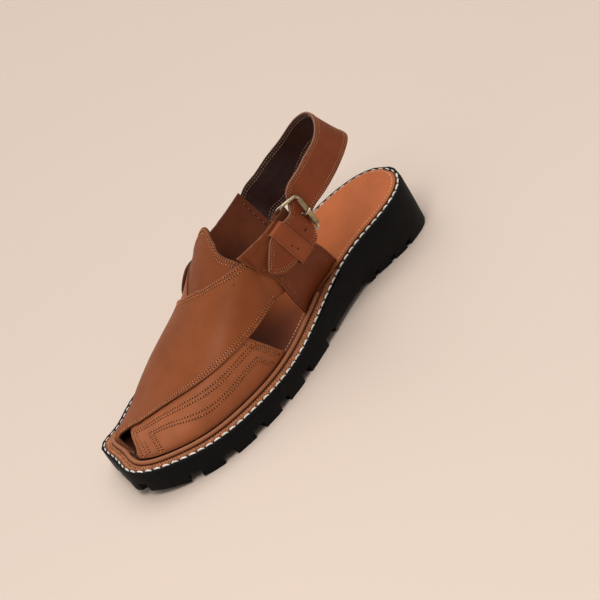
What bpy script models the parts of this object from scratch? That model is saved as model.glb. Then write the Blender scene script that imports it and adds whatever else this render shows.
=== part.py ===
"""Peshawari chappal, left shoe: a sandal of crossed leather bands on a lugged rubber sole.

All tables are in millimetres. The toe points to -Y, the heel to +Y, the outer side, where
the buckle sits, to +X, and the sole stands on Z = 0. Objects are written in metres.
"""
import bmesh
import bpy
import numpy as np

MM = 0.001
GAP = 0.3               # clearance between neighbouring solids

for leftover in list(bpy.data.objects):
    bpy.data.objects.remove(leftover, do_unlink=True)


# ---- driving sizes, in millimetres -------------------------------------------------------
# toe towards -Y, heel towards +Y, outer (lateral) side towards +X, floor at Z = 0

RIM = 2.0               # rubber outside the stitched edge
FOOT_RISE = 2.1         # the last's foot line stands on the insole, this high over the edge

# Distance from the stitched edge in to the last's foot line.
#               y     inset
FOOT_INSET = ((-150, 13.4), (36, 13.2), (66, 7.0))

# Stitched edge of the sole seen from above, from the heel's back round the outer side.
#                x      y
OUTLINE = (
    (7, 142), (21, 135), (30, 113), (29.5, 79), (35, 45), (46, 11),
    (57, -24), (62, -60), (58, -97), (45, -124), (33, -138), (21, -143),
    (-6, -138.5), (-25, -134.5), (-30.5, -130), (-35, -118), (-47, -97),
    (-57, -68), (-54, -27), (-48, 12), (-38, 45), (-36, 80), (-30, 112), (-15, 136),
)

# Height of the stitched edge along the shoe: toe spring, thin forefoot, wedge to the heel.
#           y     z
EDGE = ((-150, 24), (-110, 19), (-60, 16.5), (0, 17), (60, 29.5), (145, 41))

# Cross sections of the last. crown: its highest point. full: exponent of the arch on each
# side, 2 is an ellipse and 4 nearly a box. lean: how far each side leans outwards.
#   station crown_x crown_z full_out full_in lean_out lean_in
SECTIONS = (
    (-130,   -6,    26,     3.5,     1.8,    -3,      6),
    (-92,     3,    38,     3.0,     1.8,    -3,      7),
    (-60,     6,    57,     3.2,     1.8,    -1,      6),
    (-25,     8,    78,     3.8,     1.9,     1,      9),
    (3,       8,   103,     4.4,     2.0,     5,     16),
    (35,      5,   115,     2.6,     3.6,    37,     42),
    (62,      2,   118,     2.6,     4.0,    39,     62),
)


def natural_spline(x, knots, values):
    """Natural cubic spline through (knots, values), read at x, straight outside the ends."""
    knots, values = np.asarray(knots, float), np.asarray(values, float)
    n, h = len(knots), np.diff(knots)
    system, right = np.eye(n), np.zeros(n)
    for i in range(1, n - 1):
        system[i, i - 1:i + 2] = h[i - 1], 2 * (h[i - 1] + h[i]), h[i]
        right[i] = 6 * ((values[i + 1] - values[i]) / h[i] - (values[i] - values[i - 1]) / h[i - 1])
    bend = np.linalg.solve(system, right)
    x = np.asarray(x, float)
    i = np.clip(np.searchsorted(knots, x, side="right") - 1, 0, n - 2)
    a, b, w = knots[i + 1] - x, x - knots[i], h[i]
    cubic = (bend[i] * a**3 + bend[i + 1] * b**3) / (6 * w)
    cubic += (values[i] / w - bend[i] * w / 6) * a + (values[i + 1] / w - bend[i + 1] * w / 6) * b
    first = (values[1] - values[0]) / h[0] - bend[1] * h[0] / 6
    final = (values[-1] - values[-2]) / h[-1] + bend[-2] * h[-1] / 6
    cubic = np.where(x < knots[0], values[0] + first * (x - knots[0]), cubic)
    return np.where(x > knots[-1], values[-1] + final * (x - knots[-1]), cubic)


def lengths(points):
    """Distance along a polyline up to each of its points."""
    return np.r_[0, np.cumsum(np.linalg.norm(np.diff(points, axis=0), axis=1))]


def resample(points, count):
    """The polyline read at evenly spaced distances."""
    run = lengths(points)
    at = np.linspace(0, run[-1], count)
    return np.stack([np.interp(at, run, column) for column in np.asarray(points, float).T], 1)


def curve(points, count, scale=(1, 1, 1)):
    """A smooth curve through the points, one natural spline per coordinate, evenly spaced."""
    points = np.asarray(points, float)
    if len(points) < 3:
        return resample(points, count)
    run = lengths(points * np.asarray(scale[:points.shape[1]]))
    fine = np.linspace(0, run[-1], 8 * count)
    smooth = np.stack([natural_spline(fine, run, column) for column in points.T], 1)
    at = lengths(smooth * np.asarray(scale[:points.shape[1]]))
    even = np.linspace(0, at[-1], count)
    return np.stack([np.interp(even, at, column) for column in smooth.T], 1)


def closed_curve(points, count):
    """A smooth closed curve: the points are repeated twice round so that the ends agree."""
    points = np.asarray(points, float)
    n = len(points)
    looped = np.vstack([points, points, points, points[:1]])
    run = lengths(looped)
    fine = np.linspace(run[n], run[2 * n], 8 * count + 1)
    smooth = np.stack([natural_spline(fine, run, column) for column in looped.T], 1)
    return resample(smooth, count + 1)[:-1]


def edge_height(y):
    """Height of the stitched edge at a place along the shoe."""
    table = np.array(EDGE)
    return natural_spline(y, table[:, 0], table[:, 1])


OUTLINE_FINE = closed_curve(OUTLINE, 720)


def offset_outline(distance):
    """The outline moved outwards. Moved inwards, it loses the loops of its tight corners."""
    along = np.roll(OUTLINE_FINE, -1, 0) - np.roll(OUTLINE_FINE, 1, 0)
    outward = np.stack([-along[:, 1], along[:, 0]], 1) / np.linalg.norm(along, axis=1)[:, None]
    distance = np.broadcast_to(distance, len(OUTLINE_FINE))[:, None]
    moved = OUTLINE_FINE + outward * distance
    gap = np.linalg.norm(moved[:, None] - OUTLINE_FINE[None], axis=2).min(1)
    return moved[gap > np.abs(distance[:, 0]) - 0.05]


# ---- the last ---------------------------------------------------------------------------

SLANT = -0.16           # the toe's front edge runs further forward on the outer side
SLANT_START = -60       # sections turn square to the shoe from here back
SAMPLES = 49            # points that measure a half section's girth


def slant(station):
    return SLANT * np.clip((SLANT_START - station) / 60, 0, 1)


def foot_sides():
    """Foot line of the last as x against station, for the outer and the inner side."""
    table = np.array(FOOT_INSET)
    foot = offset_outline(-np.interp(OUTLINE_FINE[:, 1], table[:, 0], table[:, 1]))
    station = foot[:, 1].copy()
    for _ in range(60):
        station = (station + foot[:, 1] - slant(station) * foot[:, 0]) / 2
    front, back = station.argmin(), station.argmax()
    sides = {}
    for step in (1, -1):
        count = (step * (back - front)) % len(foot)
        index = (front + step * np.arange(count + 1)) % len(foot)
        reach = np.maximum.accumulate(station[index])
        rising = np.r_[True, reach[1:] > reach[:-1] + 1e-9]
        x = foot[index, 0][rising]
        sides[1 if x.mean() > 0 else -1] = station[index][rising], x
    return sides, station[front]


FOOT_SIDES, TOE_STATION = foot_sides()
TOE_STATION += 0.3


def section_value(station, column):
    """A column of the sections' table: smooth for the crown, straight lines for the rest."""
    table = np.array(SECTIONS, float)
    if column < 3:
        return natural_spline(station, table[:, 0], table[:, column])
    return np.interp(station, table[:, 0], table[:, column])


def half_section(station, outer, angle):
    """Point of a half section at an angle from 0 at its foot to a quarter turn at the crown.

    A superellipse whose side leans outwards with height: rise = sin(angle)^(2/full),
    x = crown + (foot + lean * rise - crown) * cos(angle)^(2/full),
    z = foot height + (crown height - foot height) * rise.
    """
    crown_x, crown_z = section_value(station, 1), section_value(station, 2)
    full = np.where(outer, section_value(station, 3), section_value(station, 4))
    lean = np.where(outer, section_value(station, 5), -section_value(station, 6))
    foot = np.where(outer, np.interp(station, *FOOT_SIDES[1]), np.interp(station, *FOOT_SIDES[-1]))
    foot_z = edge_height(station + slant(station) * foot) + FOOT_RISE
    reach, rise = np.cos(angle)**(2 / full), np.sin(angle)**(2 / full)
    x = crown_x + (foot + lean * rise - crown_x) * reach
    return np.stack([x, station + slant(station) * x, foot_z + (crown_z - foot_z) * rise], -1)


def half_girth(station, outer):
    """Distances along a half section from foot to crown, and the angles they stand at."""
    angle = np.linspace(0, 1, SAMPLES)**1.5 * np.pi / 2
    angle = np.broadcast_to(angle, station.shape + (SAMPLES,))
    points = half_section(station[..., None], outer[..., None], angle)
    step = np.linalg.norm(np.diff(points, axis=-2), axis=-1)
    run = np.concatenate([np.zeros(station.shape + (1,)), np.cumsum(step, -1)], -1)
    return run, angle, points


def read_rows(at, rows, values):
    """Interpolation in which every place has its own row of knots."""
    index = np.clip((rows < at[..., None]).sum(-1) - 1, 0, rows.shape[-1] - 2)
    pick = lambda table, shift: np.take_along_axis(table, (index + shift)[..., None], -1)[..., 0]
    low, high = pick(rows, 0), pick(rows, 1)
    share = np.clip((at - low) / np.maximum(high - low, 1e-9), 0, 1)
    return pick(values, 0) + share * (pick(values, 1) - pick(values, 0))


def last_point(station, turn):
    """Point of the last. turn is the share of the half girth: -1 inner foot, 0 crown, 1 outer."""
    station, turn = np.broadcast_arrays(np.asarray(station, float), np.asarray(turn, float))
    outer = turn >= 0
    run, angle, _ = half_girth(station, outer)
    return half_section(station, outer, read_rows((1 - np.abs(turn)) * run[..., -1], run, angle))


def turn_at(station, z, side):
    """The turn at which one side of a section stands at height z."""
    station, z = np.broadcast_arrays(np.asarray(station, float), np.asarray(z, float))
    run, _, points = half_girth(station, np.full(station.shape, side > 0))
    return side * (1 - read_rows(z, points[..., 2], run) / run[..., -1])


def last_normal(station, turn):
    """Outward normal of the last, by finite differences."""
    station, turn = np.broadcast_arrays(np.asarray(station, float), np.asarray(turn, float))
    ahead, around = 1.0, 0.02
    middle = np.clip(turn, around - 1, 1 - around)
    long_way = last_point(station + ahead, middle) - last_point(station - ahead, middle)
    cross_way = last_point(station, middle + around) - last_point(station, middle - around)
    normal = np.cross(cross_way, long_way)
    return normal / np.linalg.norm(normal, axis=-1, keepdims=True)


def on_last(station, turn, offset):
    """Point at a height above the last's surface."""
    return last_point(station, turn) + last_normal(station, turn) * np.asarray(offset)[..., None]


# ---- solids -----------------------------------------------------------------------------

MATERIALS = {}


def material(name, colour, roughness, metallic=0.0):
    """A Principled material made once and reused."""
    if name not in MATERIALS:
        made = bpy.data.materials.new(name)
        made.use_nodes = True
        made.diffuse_color = (*colour, 1)
        shader = made.node_tree.nodes["Principled BSDF"]
        shader.inputs["Base Color"].default_value = (*colour, 1)
        shader.inputs["Roughness"].default_value = roughness
        shader.inputs["Metallic"].default_value = metallic
        MATERIALS[name] = made
    return MATERIALS[name]


def solid(name, points, faces, look):
    """A closed body from points in millimetres, turned to face outwards."""
    mesh = bpy.data.meshes.new(name)
    mesh.from_pydata([tuple(p) for p in np.asarray(points) * MM], [], [tuple(f) for f in faces])
    body = bmesh.new()
    body.from_mesh(mesh)
    bmesh.ops.remove_doubles(body, verts=body.verts, dist=0.00001)
    bmesh.ops.recalc_face_normals(body, faces=body.faces)
    if body.calc_volume(signed=True) < 0:
        bmesh.ops.reverse_faces(body, faces=body.faces)
    body.to_mesh(mesh)
    body.free()
    made = bpy.data.objects.new(name, mesh)
    bpy.context.collection.objects.link(made)
    mesh.materials.append(look)
    return made


def grid_faces(rows, columns, first=0, wrap=False):
    """Quads of a grid whose points are numbered row by row. wrap joins the last column to 0."""
    faces = []
    for i in range(rows - 1):
        for j in range(columns if wrap else columns - 1):
            a, b = first + i * columns + j, first + i * columns + (j + 1) % columns
            faces.append((a, b, b + columns, a + columns))
    return faces


def slab(name, outer, inner, look):
    """A sheet with real thickness between two grids of the same shape."""
    rows, columns = outer.shape[:2]
    count = rows * columns
    faces = grid_faces(rows, columns)
    faces += [tuple(count + k for k in face[::-1]) for face in faces]
    rim = [j for j in range(columns)]
    rim += [i * columns + columns - 1 for i in range(1, rows)]
    rim += [(rows - 1) * columns + j for j in range(columns - 2, -1, -1)]
    rim += [i * columns for i in range(rows - 2, 0, -1)]
    for k, a in enumerate(rim):
        b = rim[(k + 1) % len(rim)]
        faces.append((b, a, a + count, b + count))
    return solid(name, np.vstack([outer.reshape(-1, 3), inner.reshape(-1, 3)]), faces, look)


def sheet_slab(name, middle, thickness, look):
    """A sheet built to both sides of a middle surface, along its own normals."""
    along = np.gradient(middle, axis=0)
    across = np.gradient(middle, axis=1)
    normal = np.cross(along, across)
    normal /= np.linalg.norm(normal, axis=-1, keepdims=True)
    return slab(name, middle + normal * thickness / 2, middle - normal * thickness / 2, look)


TUBE_SIDE = (0.3, 0.2, 1.0)     # any direction that no tube starts along


def tube(name, path, radius, sides, look, closed=False):
    """A round wire along a path, its rings square to the path."""
    path = np.asarray(path, float)
    if closed:
        along = np.roll(path, -1, 0) - np.roll(path, 1, 0)
    else:
        along = np.gradient(path, axis=0)
    along /= np.linalg.norm(along, axis=1)[:, None]
    side = np.cross(along[0], TUBE_SIDE)
    rings = []
    for centre, ahead in zip(path, along):
        side = side - ahead * (side @ ahead)
        side /= np.linalg.norm(side)
        turn = np.linspace(0, 2 * np.pi, sides, endpoint=False)
        up = np.cross(ahead, side)
        rings.append(centre + radius * (np.cos(turn)[:, None] * side + np.sin(turn)[:, None] * up))
    faces = grid_faces(len(path), sides, 0, True)
    last_ring = (len(path) - 1) * sides
    if closed:
        faces += [(last_ring + j, last_ring + (j + 1) % sides, (j + 1) % sides, j)
                  for j in range(sides)]
    else:
        faces += [tuple(range(sides))[::-1], tuple(last_ring + j for j in range(sides))]
    return solid(name, np.vstack(rings), faces, look)


def combine(target, other, operation):
    """Boolean that keeps the target's name and removes the other body."""
    change = target.modifiers.new("combine", "BOOLEAN")
    change.operation = operation
    change.solver = "EXACT"
    change.object = other
    view = bpy.context.evaluated_depsgraph_get()
    mesh = bpy.data.meshes.new_from_object(target.evaluated_get(view))
    target.modifiers.remove(change)
    old = target.data
    target.data = mesh
    bpy.data.meshes.remove(old)
    bpy.data.objects.remove(other, do_unlink=True)
    return target


def smooth_step(value, start, end):
    share = np.clip((value - start) / (end - start), 0, 1)
    return share * share * (3 - 2 * share)


def round_shading(target, angle=40):
    target.data.shade_smooth()
    target.data.set_sharp_from_angle(angle=np.radians(angle))


# ---- plates of the sole -----------------------------------------------------------------

PLATE_STATIONS = 40


def plate_sides(inset, count=PLATE_STATIONS):
    """Stations along a plate, close together at its ends, with both side edges."""
    edge = offset_outline(-np.asarray(inset, float))
    front, back = edge[:, 1].min(), edge[:, 1].max()
    turn = np.linspace(0, np.pi, count)
    even = (1 - np.cos(turn)) / 2
    stations = front + 0.15 + (back - front - 0.3) * (0.45 * even + 0.55 * np.linspace(0, 1, count))
    top, low = edge[:, 1].argmax(), edge[:, 1].argmin()
    outer = np.roll(edge, -top, 0)[:(low - top) % len(edge) + 1]
    inner = np.roll(edge, -low, 0)[:(top - low) % len(edge) + 1]
    if outer[:, 0].mean() < inner[:, 0].mean():
        outer, inner = inner, outer
    sides = []
    for side in (inner, outer):
        order = np.argsort(side[:, 1])
        sides.append(np.interp(stations, side[order, 1], side[order, 0]))
    return stations, sides[0], sides[1]


def plate(name, inset, low, high, look):
    """A plate under the stitched edge: its faces keep fixed distances from that edge's height."""
    stations, inner, outer = plate_sides(inset)
    height = edge_height(stations)
    corners = ((inner, height + low), (outer, height + low), (outer, height + high),
               (inner, height + high))
    points = np.stack([np.stack([x, stations, z], 1) for x, z in corners], 1).reshape(-1, 3)
    faces = grid_faces(len(stations), 4, 0, True)
    last_ring = (len(stations) - 1) * 4
    faces += [(3, 2, 1, 0), tuple(last_ring + j for j in range(4))]
    return solid(name, points, faces, look)


# ---- colours ----------------------------------------------------------------------------

RUBBER = material("outsole_rubber", (0.012, 0.012, 0.013), 0.6)
WELT = material("welt_leather", (0.23, 0.085, 0.035), 0.7)
INSOLE = material("insole_leather", (0.42, 0.165, 0.065), 0.5)
RAND = material("rand_leather", (0.2, 0.07, 0.03), 0.45)
UPPER = material("upper_leather", (0.26, 0.085, 0.036), 0.45)
HEEL_STRAP = material("heel_strap_leather", (0.24, 0.075, 0.03), 0.45)
KEEPER = material("keeper_leather", (0.28, 0.095, 0.04), 0.45)
BRASS = material("buckle_frame_brass", (0.36, 0.3, 0.19), 0.35, 1.0)
ROLLER = material("buckle_roller_brass", (0.36, 0.3, 0.19), 0.35, 1.0)
PRONG = material("buckle_prong_brass", (0.6, 0.55, 0.44), 0.3, 1.0)

# ---- outsole ----------------------------------------------------------------------------

WELT_DROP = 3.0         # thickness of the welt, let into the rubber's rim

# Underside of the rubber: toe spring, flat forefoot, raised shank, flat heel, rounded back.
#           y      z
FLOOR = ((-146, 7.5), (-135, 4.6), (-120, 1.9), (-104, 0), (24, 0), (30, 4.2),
         (70, 4.2), (76, 0), (137, 0), (145, 2.2))

# How far the rubber's wall stands in at the floor, against its top.
#           y     in
TAPER = ((-150, 3.0), (-120, 0.5), (30, 0.5), (80, 5.0), (125, 4.0), (145, 1.0))

# Grooves between the lugs of the wall: where they sit along the shoe, width, height.
#                 y     wide  high
SIDE_GROOVES = ((21, 12, 5.5), (-13, 10, 5.5), (-39.5, 10, 5.5), (-65, 10, 5.5),
                (-91, 10, 6.0), (-116, 9, 7.5))
#                 x     wide  high
FRONT_GROOVES = ((-14, 6.5, 12.5), (6, 6.5, 12.5), (26, 6.5, 13.0))
GROOVE_DEPTH = 9.0


def outsole():
    stations, inner, outer = plate_sides(-RIM)
    breaks = np.array([row[0] for row in FLOOR[2:-1]], float)
    stations_all = np.unique(np.r_[stations, breaks])
    inner, outer = (np.interp(stations_all, stations, side) for side in (inner, outer))
    floor, taper = np.array(FLOOR), np.array(TAPER)
    low = np.interp(stations_all, floor[:, 0], floor[:, 1])
    stand_in = np.interp(stations_all, taper[:, 0], taper[:, 1])
    stand_in = np.minimum(stand_in, 0.3 * (outer - inner))
    high = edge_height(stations_all)
    waist = low + 0.45 * (high - low)
    corners = ((inner + stand_in, low), (outer - stand_in, low), (outer - 0.2 * stand_in, waist),
               (outer, high), (inner, high), (inner + 0.2 * stand_in, waist))
    points = np.stack([np.stack([x, stations_all, z], 1) for x, z in corners], 1).reshape(-1, 3)
    ring = len(corners)
    faces = grid_faces(len(stations_all), ring, 0, True)
    last_ring = (len(stations_all) - 1) * ring
    faces += [tuple(range(ring))[::-1], tuple(last_ring + j for j in range(ring))]
    body = solid("outsole", points, faces, RUBBER)
    combine(body, plate("recess", 0.2, -WELT_DROP - GAP, 5, RUBBER), "DIFFERENCE")
    for y, wide, high_cut in SIDE_GROOVES:
        for side in (1, -1):
            combine(body, groove(y, wide, high_cut, side), "DIFFERENCE")
    for x, wide, high_cut in FRONT_GROOVES:
        edge = OUTLINE_FINE[OUTLINE_FINE[:, 1] < -100]
        front = edge[np.abs(edge[:, 0] - x).argmin()]
        combine(body, box("cut", (x, front[1]), (0, -1), wide, high_cut), "DIFFERENCE")
    return body


def groove(y, wide, high, side):
    """A groove across the rubber's wall, square to the outline."""
    half = OUTLINE_FINE[OUTLINE_FINE[:, 0] * side > 0]
    place = half[np.abs(half[:, 1] - y).argmin()]
    k = np.linalg.norm(OUTLINE_FINE - place, axis=1).argmin()
    along = OUTLINE_FINE[(k + 6) % len(OUTLINE_FINE)] - OUTLINE_FINE[k - 6]
    outward = np.array([along[1], -along[0]]) / np.linalg.norm(along)
    if outward[0] * side < 0:
        outward = -outward
    return box("cut", place, outward, wide, high)


def box(name, place, outward, wide, high):
    """A box from below the floor up to a height, through the wall at a place of the outline."""
    outward = np.asarray(outward, float)
    across = np.array([-outward[1], outward[0]])
    points = []
    for z in (-5.0, high):
        for a, b in ((-1, -1), (1, -1), (1, 1), (-1, 1)):
            depth = 8.0 if b > 0 else -GROOVE_DEPTH
            spot = np.asarray(place) + across * a * wide / 2 + outward * depth
            points.append((*spot, z))
    faces = ((3, 2, 1, 0), (4, 5, 6, 7), (0, 1, 5, 4), (1, 2, 6, 5), (2, 3, 7, 6), (3, 0, 4, 7))
    return solid(name, points, faces, RUBBER)


round_shading(outsole(), 30)
round_shading(plate("welt", 0.5, -WELT_DROP, 0, WELT))

# ---- insole and rand --------------------------------------------------------------------

INSOLE_THICK = 1.5
#                  y     inset
INSOLE_INSET = ((-150, 11.1), (38, 11.1), (64, 2.6), (150, 2.2))
RAND_INSET, RAND_RADIUS, RAND_END = 8.4, 1.5, 37.0

table = np.array(INSOLE_INSET)
insole_inset = np.interp(OUTLINE_FINE[:, 1], table[:, 0], table[:, 1])
round_shading(plate("insole", insole_inset, GAP, GAP + INSOLE_THICK, INSOLE))


def rand():
    """A rolled leather bead on the welt, from one side round the toe to the other."""
    edge = offset_outline(-RAND_INSET)
    start = np.abs(edge - edge[edge[:, 1].argmax()]).sum(1).argmin()
    edge = np.roll(edge, -start, 0)
    edge = edge[edge[:, 1] < RAND_END]
    path = resample(edge, 62)
    height = edge_height(path[:, 1]) + GAP + RAND_RADIUS
    return tube("rand", np.column_stack([path, height]), RAND_RADIUS, 7, RAND)


round_shading(rand(), 60)

# ---- upper: crossed bands on the last ------------------------------------------------------

# Every band is a patch of the last between four edges, given as rows of (station, turn).
# leading: its edge towards the toe. trailing: towards the heel. Both run from the foot where
# the band starts to its other end. The foot and end edges join them.
TOE = TOE_STATION
OVER_BAND = dict(
    leading=((TOE, -1.0), (TOE, -0.33), (-117, -0.07), (-105, 0.15), (-93, 0.31), (-82, 0.45),
             (-72, 0.53), (-58, 0.57), (-41, 0.585), (-17, 0.63), (7, 0.70), (18, 0.74)),
    trailing=((-12, -1.0), (-16, -0.85), (-19, -0.68), (-26, -0.50), (-31, -0.33),
              (-30, -0.18), (-24, 0.01), (-14, 0.21), (-3, 0.29), (8, 0.35)),
)
UNDER_BAND = dict(
    leading=((TOE, 1.0), (TOE, 0.88), (-122, 0.18), (-117, -0.10), (-106, -0.29), (-93, -0.42),
             (-72, -0.54), (-41, -0.60), (-10, -0.66), (10, -0.73), (18, -0.76)),
    trailing=((-12, 1.0), (-16, 0.92), (-23, 0.77), (-30, 0.61), (-33, 0.35), (-32, 0.05),
              (-30, -0.17), (-18, -0.32), (3, -0.48), (16, -0.54)),
)
TONGUE = dict(
    leading=((-52, -0.30), (-20, -0.42), (8, -0.52)),
    trailing=((-48, 0.27), (-22, 0.36), (3, 0.42)),
    end=((8, -0.52), (3, -0.42), (2.5, -0.30), (5, -0.21), (7, -0.13), (4, -0.05), (-2, 0.04),
         (-5, 0.17), (-2, 0.29), (3, 0.42)),
)
OUTER_QUARTER = dict(
    leading=((19, 1.0), (17, 0.95), (12, 0.72), (8, 0.51), (1, 0.39), (-2, 0.26)),
    trailing=((63, 1.0), (61, 0.95), (57, 0.84), (51, 0.71), (44.5, 0.62), (38, 0.54), (35, 0.45),
              (35, 0.335)),
    end=((-2, 0.26), (11, 0.31), (25, 0.335), (35, 0.335)),
)
INNER_QUARTER = dict(
    leading=((12, -1.0), (2, -0.90), (-10, -0.78), (-17, -0.66), (-9, -0.57), (5, -0.54)),
    trailing=((64, -1.0), (64, -0.84), (62, -0.67)),
    end=((5, -0.54), (25, -0.595), (45, -0.635), (62, -0.67)),
)
PANEL = 2.0             # thickness of the upper's leather
STACKED = 1.2           # how far a covering band rides above the one it crosses
FLAP = 7.5              # how far the inner quarter's front edge stands off
UPRIGHT = 2.5           # how far the outer quarter's top stands off near the buckle
TURN_MM = 100.0         # a whole turn counts as this many millimetres when edges are spaced


def edge_curve(rows, count, corner=None):
    """A panel's edge, smooth but for one corner row. The part before it takes two steps."""
    scale = (1, TURN_MM)
    if corner is None:
        return curve(rows, count, scale)
    before, after = resample(rows[:corner + 1], 3), curve(rows[corner:], count - 2, scale)
    return np.vstack([before[:-1], after])


def panel_grid(panel, rows, columns):
    """Stations and turns of a patch, blended from its four edges (a Coons patch)."""
    sharp = 1 if panel["leading"][0][0] == TOE else None
    leading = edge_curve(panel["leading"], rows, sharp)
    trailing = edge_curve(panel["trailing"], rows)
    foot = resample((leading[0], trailing[0]), columns)
    end = curve(panel["end"], columns, (1, TURN_MM)) if "end" in panel else \
        resample((leading[-1], trailing[-1]), columns)
    u = np.linspace(0, 1, rows)[:, None, None]
    v = np.linspace(0, 1, columns)[None, :, None]
    grid = (1 - v) * leading[:, None] + v * trailing[:, None] + (1 - u) * foot[None] + u * end[None]
    grid -= (1 - u) * ((1 - v) * leading[0] + v * trailing[0])
    grid -= u * ((1 - v) * leading[-1] + v * trailing[-1])
    return grid[..., 0], grid[..., 1]


def over_rise(station, turn):
    """The over band starts on its inner foot and climbs over the under band."""
    return STACKED * smooth_step(turn, -0.98, -0.75)


def outer_rise(station, turn):
    """The outer quarter covers the over band's end and comes down to its foot and its back.
    Towards the buckle its top stands more upright than the last."""
    covering = 2 * STACKED * (1 - smooth_step(station, 20, 44)) * smooth_step(-turn, -0.99, -0.88)
    upright = UPRIGHT * smooth_step(station, 4, 30) * (1 - smooth_step(turn, 0.42, 0.62))
    return covering + upright


def inner_rise(station, turn):
    """The inner quarter lies on the under band's end. Its front edge stands off as a free flap."""
    lying = STACKED * (1 - smooth_step(station, 20, 44)) * smooth_step(turn, -0.99, -0.9)
    return lying + FLAP * (1 - smooth_step(station, -6, 14)) * smooth_step(turn, -0.97, -0.75)


def panel(name, table, rise, rows, columns):
    """One panel on the last. Its foot ends level, just clear of the insole."""
    station, turn = panel_grid(table, rows, columns)
    lift = rise(station, turn)
    faces = [on_last(station, turn, lift + PANEL), on_last(station, turn, lift)]
    for face in faces:
        face[..., 2] = np.maximum(face[..., 2], edge_height(face[..., 1]) + FOOT_RISE)
    return slab(name, *faces, UPPER)


def flat_rise(station, turn):
    return 0.0 * station


def tongue_rise(station, turn):
    return 0.0 * station - STACKED


upper = panel("upper", OVER_BAND, over_rise, 30, 15)
for name, table, rise, rows, columns in (
        ("under_band", UNDER_BAND, flat_rise, 30, 15),
        ("tongue", TONGUE, tongue_rise, 11, 13),
        ("outer_quarter", OUTER_QUARTER, outer_rise, 12, 9),
        ("inner_quarter", INNER_QUARTER, inner_rise, 12, 9)):
    combine(upper, panel(name, table, rise, rows, columns), "UNION")
round_shading(upper, 50)

# ---- buckle tab: the outer quarter carried on and folded round the buckle's bar -------------

STRAP_WIDE_POINTS = 5
TAB = 1.5               # thickness of the tab, thinned for the fold
BAR_RADIUS = 1.2
# The buckle's two bars, top and low end: the front one lies in the fold, the rear one in the roller.
FRONT_BAR = np.array([(44.5, 39.3, 105.3), (45.3, 42.5, 76.5)])
REAR_BAR = np.array([(48.6, 52.2, 106.5), (50.2, 54.2, 76.8)])
FOLD = BAR_RADIUS + GAP + TAB / 2
TAB_START = ((28.5, 101.8), (31.5, 78.8))       # y and z of the tab's first row, top and low
TAB_DEPTH = (0.9, 2.55)         # how deep its first and last row lie below the quarter's face
TAB_REACH = (0.03, 0.93)      # top and low edge of the fold, as shares of the bar
TAB_TURN = (90, -80)    # the fold's turn round the bar, in degrees


def over_quarter(y, z, lift):
    """Point on the outer side, a distance above the outer quarter's outer face."""
    turn = turn_at(y, z, 1)
    return on_last(y, turn, outer_rise(y, turn) + PANEL + lift)


def quarter_x(y, z, lift):
    """How far out the outer quarter's face, raised by a lift, stands at a place."""
    heights = np.linspace(50, 108, 80)
    faces = over_quarter(np.full(80, float(y)), heights, lift)
    return np.interp(z, np.maximum.accumulate(faces[:, 2]), faces[:, 0])


def quarter_row(top, low, lift):
    """A row of points across the tab, on the outer quarter."""
    row = np.linspace(top, low, STRAP_WIDE_POINTS)
    return np.array([(quarter_x(y, z, lift), y, z) for y, z in row])


def along_bar(bar, share):
    share = np.atleast_1d(share)[:, None]
    return bar[0] * (1 - share) + bar[1] * share


def buckle_tab():
    """From inside the quarter out over the bar, round behind it and back to the lining side."""
    start = quarter_row(*TAB_START, -TAB_DEPTH[0])
    axis = along_bar(FRONT_BAR, np.linspace(*TAB_REACH, STRAP_WIDE_POINTS))
    loop = [axis + FOLD * np.array([np.sin(angle), np.cos(angle), 0])
            for angle in np.radians(np.linspace(*TAB_TURN, 9))]
    halfway = (start + loop[0]) / 2
    back = quarter_row(*TAB_START, -TAB_DEPTH[1])
    return sheet_slab("tab", np.array([start, halfway, *loop, back]), TAB, UPPER)


combine(upper, buckle_tab(), "UNION")
round_shading(upper, 50)

# ---- heel strap: from the inner quarter round the heel, through the buckle, to its tip -------

HEEL_STRAP_THICK = 2.0
INNER_ROOM = (0.5, 0.9, 1.9)    # between the strap's first rows and the inner quarter
LYING_ROOM = 0.6        # between the strap's end and the outer quarter
STRAP_STEPS = 121
BUCKLE_STEP = 93        # from here to the tip every step is kept, before it every third
# Rows along the strap: top and bottom edge points. The first rows lie on the inner quarter
# and the last on the buckle strap, so their x is worked out there.
#    top x   y     z     low x   y     z
LYING_IN = (
    (0, 38, 70, 0, 41, 47),
    (0, 50, 71, 0, 54, 48),
    (0, 61, 71.5, 0, 66, 49),
)
FREE = (
    (-58.2, 67, 75, -46, 72.5, 50.6),
    (-52.8, 75, 80, -39.5, 79, 54.8),
    (-45.5, 87, 88, -33.5, 90, 62.6),
    (-36, 98, 96, -31, 102.5, 72.6),
    (-19, 108, 110, -17, 115.5, 87),
    (0, 112, 118, 4, 121, 93),
    (19, 103, 117.5, 21, 119, 95),
    (29, 91, 116, 32, 104, 93),
    (37.5, 75, 116.5, 41, 85, 91.5),
    (43, 63, 116, 46, 69, 90.5),
    (44.3, 53, 114, 46.2, 55.2, 85.8),
    (44.2, 48, 109.4, 47.2, 51.6, 81.6),
    (44.9, 45.8, 103.4, 50.0, 50.4, 79.4),
    (46.5, 44.0, 101.6, 51.5, 49.4, 76.2),
    (49.0, 41, 99.8, 51.4, 46.4, 71.2),
)
# The end lies over the outer quarter, where x is its least distance outwards.
LYING_OUT = (
    (48.6, 33, 98.4, 50.2, 40.5, 69.7),
    (48.0, 26, 97.0, 49.8, 33.5, 70),
    (48.0, 20, 94.8, 49.6, 27, 68.5),
    (48.2, 14, 88.5, 49.4, 19.5, 68.5),
    (48.6, 9.5, 83, 49.2, 12, 71),
    (48.8, 6.3, 78.2, 48.9, 7, 75.8),
)


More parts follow.
